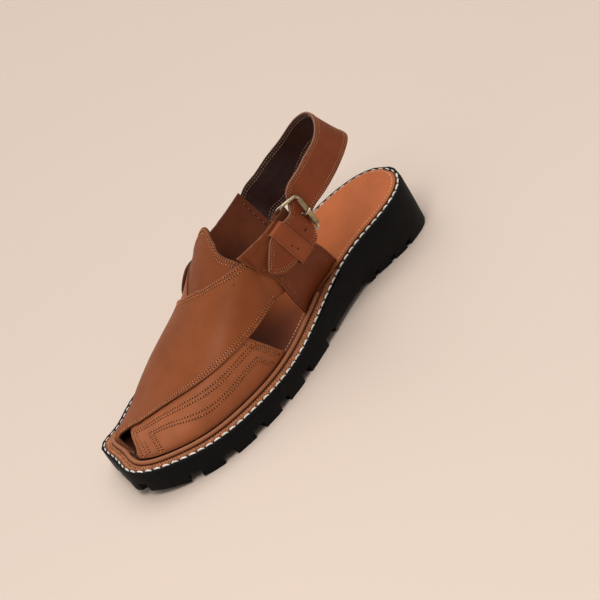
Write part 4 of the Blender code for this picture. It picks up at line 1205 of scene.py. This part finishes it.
def keeper_spot(along, across):
    """A place on the keeper's middle, as shares of its length and width."""
    rows, columns = KEEPER_MIDDLE.shape[:2]
    return KEEPER_MIDDLE[round(along * (rows - 1)), round(across * (columns - 1))]


KEEPER_HOLES = (0.47, 0.36), (0.585, 0.42)
cut(keeper, *[oval_rod(keeper_spot(*spot), half_long=0.75, half_high=0.75, reach=1.5, sides=16)
              for spot in KEEPER_HOLES])

# %% [markdown]
# ## Insole, welt and bead
# The foot stands on a smooth leather insole. Outside it lies the welt, the flat strip that is
# sewn to the rubber, and where the bands go down to it a rolled bead covers their edge.

# %% Insole and welt
INSOLE_THICK, WELT_THICK, WELT_INSET = 1.5, 3.0, 0.5
INSOLE_INSET = ((-150, 11.1), (38, 11.1), (64, 2.6), (150, 2.2))    # station, inset
BUNCHED, PLATE_END = 0.45, 0.15         # share of the closer rows, and their least end in mm


def plate_sides(inset, count):
    """Stations along a plate, close together at its ends, with both side edges."""
    edge = offset_outline(-np.asarray(inset, float))
    front, back = edge[:, 1].min(), edge[:, 1].max()
    bunched = (1 - np.cos(np.linspace(0, np.pi, count))) / 2
    mixed = BUNCHED * bunched + (1 - BUNCHED) * np.linspace(0, 1, count)
    stations = front + PLATE_END + (back - front - 2 * PLATE_END) * mixed
    top, low = edge[:, 1].argmax(), edge[:, 1].argmin()
    outer = np.roll(edge, -top, 0)[:(low - top) % len(edge) + 1]
    inner = np.roll(edge, -low, 0)[:(top - low) % len(edge) + 1]
    if outer[:, 0].mean() < inner[:, 0].mean():
        outer, inner = inner, outer
    sides = []
    for side in (inner, outer):
        order = np.argsort(side[:, 1])
        sides.append(np.interp(stations, side[order, 1], side[order, 0]))
    return stations, sides[0], sides[1]


def plate_sheet(inset, low, high, count, columns, radius):
    """Top and underside of a plate under the stitched edge, meeting along its rounded rim."""
    stations, inner, outer = plate_sides(inset, count)
    share = np.linspace(0, 1, columns)[None]
    x = inner[:, None] * (1 - share) + outer[:, None] * share
    middle = np.stack([x, stations[:, None] + 0 * x, 0 * x], -1)
    middle = ring_columns(middle)
    rim = rim_distance(middle)
    height = edge_height(middle[..., 1])
    half = rounded(rim, radius) * (high - low) / 2
    faces = []
    for side in (1, -1):
        face = middle.copy()
        face[..., 2] = height + (low + high) / 2 + side * half
        faces.append(face)
    return faces[0], faces[1], rim


insole_inset = np.interp(OUTLINE_FINE[:, 1], *np.transpose(INSOLE_INSET))
insole = plate_sheet(insole_inset, GAP, GAP + INSOLE_THICK, count=150, columns=30, radius=0.8)
leather_sheet("insole_cover", *insole, "insole_leather", (INSOLE_LEATHER, LINING), "insole",
              turned=True)
welt = plate_sheet(WELT_INSET, -WELT_THICK, 0.0, count=200, columns=24, radius=0.5)
leather_sheet("welt_strip", *welt, "welt_leather", (WELT_LEATHER, WELT_LEATHER), "welt",
              turned=True)

# %% [markdown]
# The bead is a strip of leather rolled round a cord. A tube carried along the seam shows it, and
# the same tube function makes the buckle's wire and prong.

# %% Rolled bead
RAND_INSET, RAND_RADIUS, RAND_END = 8.4, 1.5, 37.0


def tube_grid(path, radius, sides, closed):
    """Rings square to a path. Each ring's side is the one before it, freed of its twist."""
    path = np.asarray(path, float)
    along = np.roll(path, -1, 0) - np.roll(path, 1, 0) if closed else np.gradient(path, axis=0)
    along = unit(along)
    side, sides_out = np.cross(along[0], (0.3, 0.2, 1.0)), []
    for ahead in along:
        side = unit(side - ahead * (side @ ahead))
        sides_out.append(side)
    side = np.array(sides_out)
    up = np.cross(along, side)
    turn = np.linspace(0, 2 * np.pi, sides, endpoint=False)[None, :, None]
    radius = np.broadcast_to(np.asarray(radius, float), len(path))[:, None, None]
    return path[:, None] + radius * (np.cos(turn) * side[:, None] + np.sin(turn) * up[:, None])


def tube_piece(name, path, radius, sides, look, slot, replaces, closed=False, sharp=None):
    """A round wire or roll. An open one is closed with a disc at each end."""
    rings = tube_grid(path, radius, sides, closed)
    faces = tube_faces(len(rings), sides, closed)
    return new_piece(name, rings.reshape(-1, 3), faces, (look,), slot, replaces, sharp)


bead_line = resample(seam_line(RAND_INSET, GAP + RAND_RADIUS, RAND_END), count=420)
tube_piece("rolled_bead", bead_line, RAND_RADIUS, sides=20, look=BEAD_LEATHER,
           slot="rand_leather", replaces="rand", sharp=60)

# %% [markdown]
# ## Buckle
# A wire frame, a roller on its rear bar and a short prong. Each is a ring of points carried
# along a path, and the frame's path has rounded corners, as bent wire has.

# %% Buckle


def frame_path(radius=3.0, steps=9):
    """Rounded rectangle through the ends of both bars: each corner is a quadratic curve."""
    corners = np.array([FRONT_BAR[0], REAR_BAR[0], REAR_BAR[1], FRONT_BAR[1]])
    share, path = np.linspace(0, 1, steps)[:, None], []
    for k, corner in enumerate(corners):
        before, after = unit(corners[k - 1] - corner), unit(corners[(k + 1) % 4] - corner)
        low, high = corner + before * radius, corner + after * radius
        path.append((1 - share)**2 * low + 2 * share * (1 - share) * corner + share**2 * high)
    return np.vstack(path)


tube_piece("buckle_wire", frame_path(), BAR_RADIUS, sides=24, look=WIRE_BRASS,
           slot="buckle_frame_brass", replaces="buckle_frame", closed=True)
ROLLER_OUTER, ROLLER_INNER, ROLLER_END, ROLLER_SIDES = 2.0, 1.5, 3.4, 40


def roller_rings():
    """A profile of radius and distance along the bar, rounded at its ends, turned round the bar."""
    axis = REAR_BAR[1] - REAR_BAR[0]
    length = np.linalg.norm(axis) - 2 * ROLLER_END
    ahead = unit(axis)
    side = unit(np.cross(ahead, (0, 1, 0)))
    up = np.cross(ahead, side)
    profile = [(ROLLER_INNER, 0.0), (1.6, 0.0), (1.85, 0.05), (ROLLER_OUTER, 0.3)]
    profile += [(radius, length - along) for radius, along in profile[::-1]]
    turn = np.linspace(0, 2 * np.pi, ROLLER_SIDES, endpoint=False)
    circle = np.cos(turn)[:, None] * side + np.sin(turn)[:, None] * up
    start = REAR_BAR[0] + ahead * ROLLER_END
    return np.array([start + ahead * along + circle * radius for radius, along in profile])


rings = roller_rings()
new_piece("buckle_roll", rings.reshape(-1, 3), grid_faces(len(rings), ROLLER_SIDES, True, True),
          (ROLLER_BRASS,), "buckle_roller_brass", "buckle_roller", 50)
# The prong's shank, as x, y and z from the rear bar's axis.
SHANK = ((-3.2, -9.0, 0), (-4.2, -6.3, 0), (-4.0, -4.6, 0), (-2.6, -3.5, 0), (-0.9, -3.2, 0.3),
         (0.9, -3.1, 0.8), (2.3, -2.2, 1.5), (3.0, -0.9, 2.2), (3.3, 0.4, 2.9), (3.4, 1.3, 3.4))
PRONG_RADIUS = 0.8


def prong_path():
    """An eye round the front bar, open towards the rear, then the shank."""
    centre = along_bar(FRONT_BAR, PRONG_SHARE)[0]
    eye = BAR_RADIUS + GAP + PRONG_RADIUS
    path = [centre + eye * np.array([np.sin(angle), -np.cos(angle), 0])
            for angle in np.radians(np.linspace(-160, 90, 9))]
    rear = along_bar(REAR_BAR, PRONG_SHARE)[0]
    return curve(np.array(path + [rear + np.array(place) for place in SHANK]), count=80)


path = prong_path()
taper = np.interp(np.linspace(0, 1, len(path)), (0, 0.9, 0.97, 1), (1, 1, 0.85, 0.45))
tube_piece("buckle_tongue", path, PRONG_RADIUS * taper, sides=18, look=PRONG_BRASS,
           slot="buckle_prong_brass", replaces="buckle_prong", sharp=60)

# %% [markdown]
# ## Stitches
# A stitch is a short piece of thread that rises out of one hole and dives into the next. One small
# closed form, a rounded bar with sunk ends, is repeated along lines on the leather, all at once as
# arrays. A low dark dimple, painted shade, marks each needle hole between two stitches.

# %% One stitch, many times
STITCH_SIDES = 6
BAR_X = np.array((-0.5, -0.38, -0.12, 0.12, 0.38, 0.5))
BAR_FULL = np.array((0.35, 0.85, 1.0, 1.0, 0.85, 0.35))
STITCH_LIFT, TURN_CHANCE, LONG_CHANCE = 0.05, 0.05, 0.06   # mm up, radians and share by chance


def repeated(faces, count, step):
    """One part's array of faces for a row of equal parts of so many points."""
    return (faces[None] + step * np.arange(count)[:, None, None]).reshape(-1, faces.shape[1])


def along_line(line, pitch, start=0.0):
    """Places on a line of (point, normal) at an even pitch, with the direction at each."""
    points, normals = line
    run = lengths(points)
    at = start + (np.arange(int((run[-1] - start) / pitch)) + 0.5) * pitch
    ahead = unit(read_at(at + 0.3, run, points) - read_at(at - 0.3, run, points))
    normal = read_at(at, run, normals)
    normal = unit(normal - ahead * (normal * ahead).sum(1, keepdims=True))
    return read_at(at, run, points), ahead, np.cross(normal, ahead), normal


def bars(places, size, slant_angle, rough, seed):
    """Rounded bars on places: long, wide and high. Their middle line is an arch, high * (1 -
    (2x)^4), so both ends dip. Each is turned by the slant and a little by chance."""
    centre, ahead, side, normal = places
    long, wide, high = size
    chance = np.random.default_rng(seed).normal(0, 1, (3, len(centre)))
    angle = np.radians(slant_angle) + TURN_CHANCE * rough * chance[0]
    cos, sin = np.cos(angle)[:, None], np.sin(angle)[:, None]
    ahead, side = ahead * cos + side * sin, side * cos - ahead * sin
    turn = np.linspace(0, 2 * np.pi, STITCH_SIDES, endpoint=False)
    arch = high * (0.45 - 0.75 * (2 * BAR_X)**4)
    x = np.broadcast_to(BAR_X[:, None] * long, (len(BAR_X), STITCH_SIDES))
    y = BAR_FULL[:, None] * np.cos(turn) * wide / 2
    z = arch[:, None] + BAR_FULL[:, None] * np.sin(turn) * high * 0.55
    length = (1 + LONG_CHANCE * rough * chance[1])[:, None, None, None]
    points = centre[:, None, None] + normal[:, None, None] * (z[None, ..., None] + STITCH_LIFT)
    points = points + ahead[:, None, None] * x[None, ..., None] * length
    points = points + side[:, None, None] * y[None, ..., None]
    count, ring = len(centre), len(BAR_X) * STITCH_SIDES
    faces = grid_faces(len(BAR_X), STITCH_SIDES, False, True)
    first = np.arange(STITCH_SIDES)
    caps = np.array([first[::-1], first + ring - STITCH_SIDES])
    return points.reshape(-1, 3), repeated(faces, count, ring), repeated(caps, count, ring)


print("faces in one stitch:", len(tube_faces(len(BAR_X), STITCH_SIDES)))

# %% [markdown]
# A needle hole is a low six-sided disc with a tip above and one below the leather, stretched a
# little along the row. Stitches of one row differ by chance, each row with a seed of its own.

# %% Needle holes and rows


def dimples(places, radius, stretch=1.3, height=0.07):
    """Low closed discs: the shadow in a needle hole."""
    centre, ahead, side, normal = places
    sides, hover, sunk = 6, 0.01, 0.15
    turn = np.linspace(0, 2 * np.pi, sides, endpoint=False)
    ring = centre[:, None] + normal[:, None] * hover \
        + ahead[:, None] * (np.cos(turn) * radius * stretch)[None, :, None] \
        + side[:, None] * (np.sin(turn) * radius)[None, :, None]
    points = np.concatenate([ring, (centre + normal * height)[:, None],
                             (centre - normal * sunk)[:, None]], 1)
    j = np.arange(sides)
    faces = np.vstack([np.stack([j, (j + 1) % sides, 0 * j + sides], 1),
                       np.stack([(j + 1) % sides, j, 0 * j + sides + 1], 1)])
    return points.reshape(-1, 3), repeated(faces, len(centre), sides + 2)


def sew(name, lines, pitch, size, look, slot, hole, slant_angle=0.0, rough=1.0):
    """Stitches along all lines as one piece, and their needle holes as another."""
    threads = [bars(along_line(line, pitch), size, slant_angle, rough, k + 1)
               for k, line in enumerate(lines)]
    new_piece(name, *gathered(threads), (look,), slot)
    if hole:
        spots = [dimples(along_line(line, pitch, pitch / 2), hole) for line in lines]
        new_piece(name + "_holes", *gathered(spots), (NEEDLE_DARK,), slot)


print("rows can be sewn")

# %% [markdown]
# A row is found from the panel itself: it keeps a fixed distance from one of the panel's edges.
# Rows that frame the under band follow lines of their own in (station, turn), and a helper lifts
# any such line on to the leather.

# %% Lines on the panels
DENSE = 500


def panel_line(station, turn, rise, under=False):
    """A line in (station, turn) put on the panel's face, or on its back, with normals."""
    normal = last_normal(station, turn)
    lift = rise(station, turn) + (0.0 if under else PANEL)
    points = last_point(station, turn) + normal * lift[..., None]
    return points, -normal if under else normal


def edge_line(name, edge, distance, start, end):
    """Station and turn of a line at a distance from the leading, trailing or end edge of a
    panel. start and end are shares of that edge's length."""
    panel = PANELS[name][0]
    share = np.linspace(start, end, DENSE)
    even, long_way, cross_way = panel_widths(panel, count=41)
    if edge == "end":
        u, v = 1 - distance / np.interp(share, even, long_way), share
    else:
        inwards = distance / np.interp(share, even, cross_way)
        u, v = share, inwards if edge == "leading" else 1 - inwards
    return np.column_stack(patch(panel, u, v))


def edge_row(name, edge, distance, start, end, under=False):
    """That line put on the panel."""
    line = edge_line(name, edge, distance, start, end)
    return panel_line(line[:, 0], line[:, 1], PANELS[name][1], under=under)


def girth(station):
    """Half girth of the last on the outer side, in millimetres."""
    return half_girth(station, np.ones(station.shape, bool))[0][..., -1]


def beside(line, distance):
    """A line in (station, turn) moved sideways: in the plane of (station, turn * girth) every
    point goes the distance along the line's left normal."""
    flat = np.column_stack([line[:, 0], line[:, 1] * girth(line[:, 0])])
    along = unit(np.gradient(flat, axis=0))
    flat = flat + distance * np.column_stack([-along[:, 1], along[:, 0]])
    return np.column_stack([flat[:, 0], flat[:, 1] / girth(flat[:, 0])])


def joined(*lines):
    """Lines cut where each comes closest to the next, and set end to end."""
    lines = list(lines)
    for k in range(len(lines) - 1):
        a, b = lines[k] * (1, TURN_MM), lines[k + 1] * (1, TURN_MM)
        gap = np.linalg.norm(a[:, None] - b[None], axis=2)
        i, j = np.unravel_index(gap.argmin(), gap.shape)
        lines[k], lines[k + 1] = lines[k][:i + 1], lines[k + 1][j:]
    return np.vstack(lines)


ROW_EDGE, ROW_APART = 1.9, 2.4         # first row from the edge, and from row to row
edge_rows = [edge_row(name, edge, ROW_EDGE + k * ROW_APART, *ends) for name, edge, *ends in (
    ("over_band", "leading", 0.09, 0.93), ("over_band", "trailing", 0.05, 0.95),
    ("tongue", "end", 0.04, 0.98)) for k in range(2)]
print("rows along the edges:", len(edge_rows))

# %% [markdown]
# The under band carries two nested frames. Each runs up beside the open toe, then beside the
# over band's edge, and down beside the band's own back edge, with an extra row at both ends.

# %% Frames of the under band
over_edge = edge_line("over_band", "leading", 0.0, 0.06, 0.8)


def frame_line(from_toe, from_over, from_back):
    """One frame, from its distances to the open toe, the over band and the back edge."""
    toe = edge_line("under_band", "leading", from_toe, 0.015, 0.4)
    back = edge_line("under_band", "trailing", from_back, 0.62, 0.02)
    return joined(toe, beside(over_edge, from_over), back)


FRAMES = ((2.2, 4.9, 1.9), (4.6, 7.3, 4.3), (12.5, 13.4, 12.5), (14.9, 15.8, 14.9))
frames = [frame_line(*distances) for distances in FRAMES]
frame_rows = [panel_line(line[:, 0], line[:, 1], flat_rise) for line in frames]
extra_rows = [edge_row("under_band", "trailing", 6.7, 0.03, 0.40),
              edge_row("under_band", "leading", 7.0, 0.03, 0.20)]
sew("band_stitches", edge_rows + frame_rows + extra_rows, pitch=2.1, size=(1.3, 1.15, 0.42),
    look=TAN_THREAD, slot="upper_leather", hole=0.66)

# %% [markdown]
# The quarters are sewn by hand with a thick waxed thread in long stitches, which sinks into the
# leather between two round holes. The inner quarter shows such holes on its back, and the over
# band has a single pinhole near its rear edge.

# %% Hand stitches of the quarters
HAND_WIDE, HAND_HIGH, HAND_SEED = 0.75, 0.25, 5


def hand_sewn(name, line, pitch, length, hole):
    """Single long stitches with a hole at each end of every one."""
    places = along_line(line, pitch, 0.5)
    size = length, HAND_WIDE, HAND_HIGH
    threads = bars(places, size, slant_angle=0, rough=1.0, seed=HAND_SEED)
    centre, *axes = places
    spots = [dimples((centre + axes[0] * length * end * 1.05, *axes), hole, stretch=1.15,
                     height=0.12) for end in (-0.5, 0.5)]
    new_piece(name, *gathered([threads]), (BROWN_THREAD,), "upper_leather")
    new_piece(name + "_holes", *gathered(spots), (HOLE_DARK,), "upper_leather")


front_row = edge_row("outer_quarter", "leading", 4.2, 0.06, 0.86)
hand_sewn("quarter_hand_stitches", front_row, pitch=8.6, length=3.4, hole=0.5)
inner_row = edge_row("inner_quarter", "trailing", 4.6, 0.34, 0.97, under=True)
hand_sewn("inner_quarter_stitches", inner_row, pitch=4.6, length=2.4, hole=0.65)
back_row = edge_row("outer_quarter", "trailing", 4.5, 0.10, 0.30)
hand_sewn("quarter_back_stitches", back_row, pitch=8.5, length=3.4, hole=0.5)
lone = panel_line(np.array((-14.0, -13.2)), np.array((0.31, 0.315)), over_rise)
pinhole = dimples([values[:1] for values in along_line(lone, 0.5)], radius=0.5, stretch=1.0,
                  height=0.1)
new_piece("band_pinhole", *pinhole, (HOLE_DARK,), "upper_leather")

# %% [markdown]
# The heel strap is sewn to its lining with a double row along both edges, seen on both faces.

# %% Rows on the heel strap
STRAP_RUN = run_across(STRAP_MIDDLE)
STRAP_NORMAL = grid_normal(STRAP_MIDDLE)
OUTWARDS = 1 if STRAP_NORMAL[STRAP_ROWS // 2, STRAP_COLUMNS // 2, 1] > 0 else -1
STRAP_INSETS, STRAP_LEAST = (1.7, 3.5), 0.8     # rows from an edge, room left between them


def strap_row(distance, top, face, end):
    """A line at a distance from the strap's top or low edge, on its outer (1) or inner face, up
    to a share of its length."""
    keep = [i for i in range(int(end * (STRAP_ROWS - 1)) + 1)
            if STRAP_RUN[i, -1] > 2 * distance + STRAP_LEAST]
    at = [distance if top else STRAP_RUN[i, -1] - distance for i in keep]
    points, normal = (np.array([read_at(a, STRAP_RUN[i], table[i]) for a, i in zip(at, keep)])
                      for table in (STRAP_MIDDLE, STRAP_NORMAL))
    normal = unit(normal) * face * OUTWARDS
    return points + normal * STRAP_THICK / 2, normal


def strap_rows(face, end):
    """The double rows along both edges of one face."""
    return [strap_row(distance, top, face, end) for distance in STRAP_INSETS
            for top in (True, False)]


sew("strap_stitches", strap_rows(face=1, end=1.0), pitch=1.75, size=(0.95, 0.62, 0.3),
    look=STRAP_THREAD, slot="heel_strap_leather", hole=0.36)
sew("strap_lining_stitches", strap_rows(face=-1, end=0.78), pitch=2.3, size=(1.35, 0.45, 0.25),
    look=CREAM_THREAD, slot="heel_strap_leather", hole=0.3)

# %% [markdown]
# The insole has one fine cream row near its edge, which starts where the bands no longer hide
# it. Everything on the sole's top faces straight up, so its rows need no other normal.

# %% Insole row
INSOLE_ROW, INSOLE_FIRST = 2.3, -20     # inset of the row, first station


def facing_up(points):
    """A line with its normals straight up."""
    return points, np.broadcast_to((0.0, 0.0, 1.0), points.shape)


def insole_row():
    """The insole's outline moved inwards, from the toe round, without its front part."""
    edge = offset_outline(-insole_inset - INSOLE_ROW)
    points = np.column_stack([edge, edge_height(edge[:, 1]) + GAP + INSOLE_THICK])
    start = int(points[:, 1].argmin())
    points = resample(np.roll(points, -start, axis=0), count=1500)
    return facing_up(points[points[:, 1] > INSOLE_FIRST])


sew("insole_stitches", [insole_row()], pitch=2.7, size=(1.8, 0.75, 0.36), look=INSOLE_THREAD,
    slot="insole_leather", hole=None)

# %% [markdown]
# On the welt a braided band follows the bead: rows of slanted pads that lean against each other,
# each row half a pad further along than the last.

# %% Braid of the welt
BRAID_END, BRAID_PITCH, BRAID_SIZE = 58.0, 2.3, (2.7, 1.4, 0.95)
BRAID_ROWS = ((2.6, 38), (3.9, -38), (5.2, 38))     # inset, slant in degrees
BRAID_ROUGH, BRAID_SEED = 1.6, 20


def welt_line(inset, lift, end=None):
    """A line on the welt at an inset from the outline, whole or up to a station."""
    return facing_up(resample(seam_line(inset, lift, end), count=3000))


braid = [bars(along_line(welt_line(inset, 0.0, BRAID_END), BRAID_PITCH, BRAID_PITCH / 2 * (k % 2)),
              BRAID_SIZE, lean, BRAID_ROUGH, BRAID_SEED + k)
         for k, (inset, lean) in enumerate(BRAID_ROWS)]
new_piece("welt_braid", *gathered(braid), (BRAID_THREAD,), "welt_leather")

# %% [markdown]
# Thick white stitches bind welt and rubber together. The ones on the outer side stand up and
# catch the light. On the inner side they are pulled flatter, so they are a piece of their own.

# %% White stitches
WHITE_PITCH, WHITE_SLANT, WHITE_ROUGH = 6.4, -6.0, 0.6
seam = welt_line(0.55, 0.1)
outer_side = seam[0][:, 0] > 12
turn_over = np.flatnonzero(outer_side & ~np.roll(outer_side, 1))[0]
ordered = [np.roll(table, -turn_over, axis=0) for table in seam]
split = int(np.roll(outer_side, -turn_over).argmin())
for name, part, size, hole in (("white_stitches", slice(0, split), (5.2, 1.45, 1.1), 0.5),
                               ("white_inner_stitches", slice(split, None), (4.4, 0.9, 0.6), 0.4)):
    sew(name, [[table[part] for table in ordered]], WHITE_PITCH, size, WHITE_THREAD,
        "welt_leather", hole, WHITE_SLANT, WHITE_ROUGH)

# %% [markdown]
# ## Outsole
# The rubber comes from the frame. A copy with its corners broken takes its place, because real
# moulded rubber has no knife edges and each small bevel catches a line of light. The heel's tread
# has small notches along both sides, cut out of the copy before its corners are broken.

# %% Outsole
NOTCH = (2.6, 4.5, 5.0)         # half width along the edge, reach into the sole, height
NOTCH_NARROW, NOTCH_PAST = 0.7, 4       # share left of its width inside, reach past the edge
NOTCH_AT = (66, 82, 98, 114)    # stations of the notches on both sides of the heel
CORNER, CORNER_ANGLE, SOLE_SHARP = 0.5, 28, 35      # bevel, and angles in degrees


def heel_notches():
    """Blocks to cut the heel's tread with: one over each notch, turned along the outline."""
    edge = offset_outline(0.0)
    normal = unit(np.column_stack([np.gradient(edge[:, 1]), -np.gradient(edge[:, 0])]))
    half, reach, high = NOTCH
    blocks = []
    for station in NOTCH_AT:
        for side in (-1, 1):
            near = np.where(edge[:, 0] * side > 0, np.abs(edge[:, 1] - station), np.inf)
            k = int(near.argmin())
            out = normal[k] * np.sign(normal[k][0] * side)
            wide = np.array([-out[1], out[0]]) * half
            mouth, end = edge[k] + out * NOTCH_PAST, edge[k] - out * reach
            slim = wide * NOTCH_NARROW
            ring = [mouth + wide, end + slim, end - slim, mouth - wide]
            points = [(*corner, z) for z in (-1.0, high) for corner in ring]
            blocks.append(linked("cutter", new_mesh("cutter", points, tube_faces(2, 4), RUBBER)))
    return blocks


def outsole_copy():
    """The frame's outsole with merged points and rounded corners."""
    mesh = nodes["outsole"].data.copy()
    mesh.materials.clear()
    body = bmesh.new()
    body.from_mesh(mesh)
    bmesh.ops.remove_doubles(body, verts=body.verts, dist=0.00002)
    bmesh.ops.dissolve_limit(body, angle_limit=np.radians(1.0), verts=body.verts,
                             edges=body.edges)
    body.to_mesh(mesh)
    body.free()
    mesh.materials.append(RUBBER)
    piece = linked("rubber_sole", mesh)
    cut(piece, *heel_notches())
    soft = piece.modifiers.new("broken_corners", "BEVEL")
    soft.width, soft.segments, soft.limit_method = CORNER * MM, 2, "ANGLE"
    soft.angle_limit, soft.use_clamp_overlap = np.radians(CORNER_ANGLE), True
    finished = worked_out(piece)
    piece.modifiers.clear()
    piece.data = finished
    shade_smooth(finished, SOLE_SHARP)
    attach(piece, "root")
    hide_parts("outsole")
    print("rubber sole:", len(finished.polygons), "faces")


outsole_copy()

# %% [markdown]
# ## Floor and light
# A plain pale floor fills the view, so nothing but the sandal asks to be looked at.

# %% Floor
FLOOR_TONE, FLOOR_HALF = (0.76, 0.63, 0.545), 6000


def floor_material():
    """Pale matt paper, its tone a hair uneven."""
    made, tree, shader = new_material("pale_floor")
    place, _, cloud, _, fit, mix, _ = tools(tree)
    tone = fit(cloud(place, 3.0), 0.3, 0.7)
    fill(shader, Base_Color=mix(tone, shade(FLOOR_TONE, 0.985), FLOOR_TONE), Roughness=0.9,
         Specular_IOR_Level=0.1)
    return made


corners = np.array(((-1, -1, 0), (1, -1, 0), (1, 1, 0), (-1, 1, 0))) * FLOOR_HALF
floor = linked("floor", new_mesh("floor", corners, [(0, 1, 2, 3)], floor_material()))
print("floor of", 2 * FLOOR_HALF * MM, "m")

# %% [markdown]
# The key light stands high on the outer side, a little to the front, and is soft enough for a
# faint shadow only. A broad sheet far overhead lights floor and shoe evenly, and two dim panels
# lift the front and the inner side.

# %% Lights


def soft_light(name, place, aim, size, power, colour):
    """A square area light at a place in metres, turned to its aim."""
    data = bpy.data.lights.new(name, "AREA")
    data.shape, data.size, data.energy, data.color = "SQUARE", size, power, colour
    lamp = linked(name, data)
    lamp.matrix_world = look_matrix(np.array(place) / MM, np.array(aim) / MM, 0.0)


LIGHTS = (      # name, place, aim, size in metres, power in watts, colour
    ("key", (0.65, -0.45, 1.5), (0, 0, 0.05), 0.8, 13, (1.0, 0.98, 0.94)),
    ("sky_panel", (-0.8, 0.8, 3.0), (-0.2, 0.2, 0), 3.0, 42, (1.0, 0.98, 0.95)),
    ("front_fill", (0.1, -1.7, 1.1), (0, 0, 0.05), 1.4, 4, (1.0, 0.97, 0.94)),
    ("inner_fill", (-1.6, 0.2, 0.9), (0, 0, 0.05), 1.2, 3, (0.97, 0.98, 1.0)),
)
for light in LIGHTS:
    soft_light(*light)
world = bpy.data.worlds.new("studio")
bpy.context.scene.world = world
world.use_nodes = True
fill(world.node_tree.nodes["Background"], Color=(1.0, 0.975, 0.94, 1), Strength=0.32)
bpy.context.scene.view_settings.view_transform = "Standard"
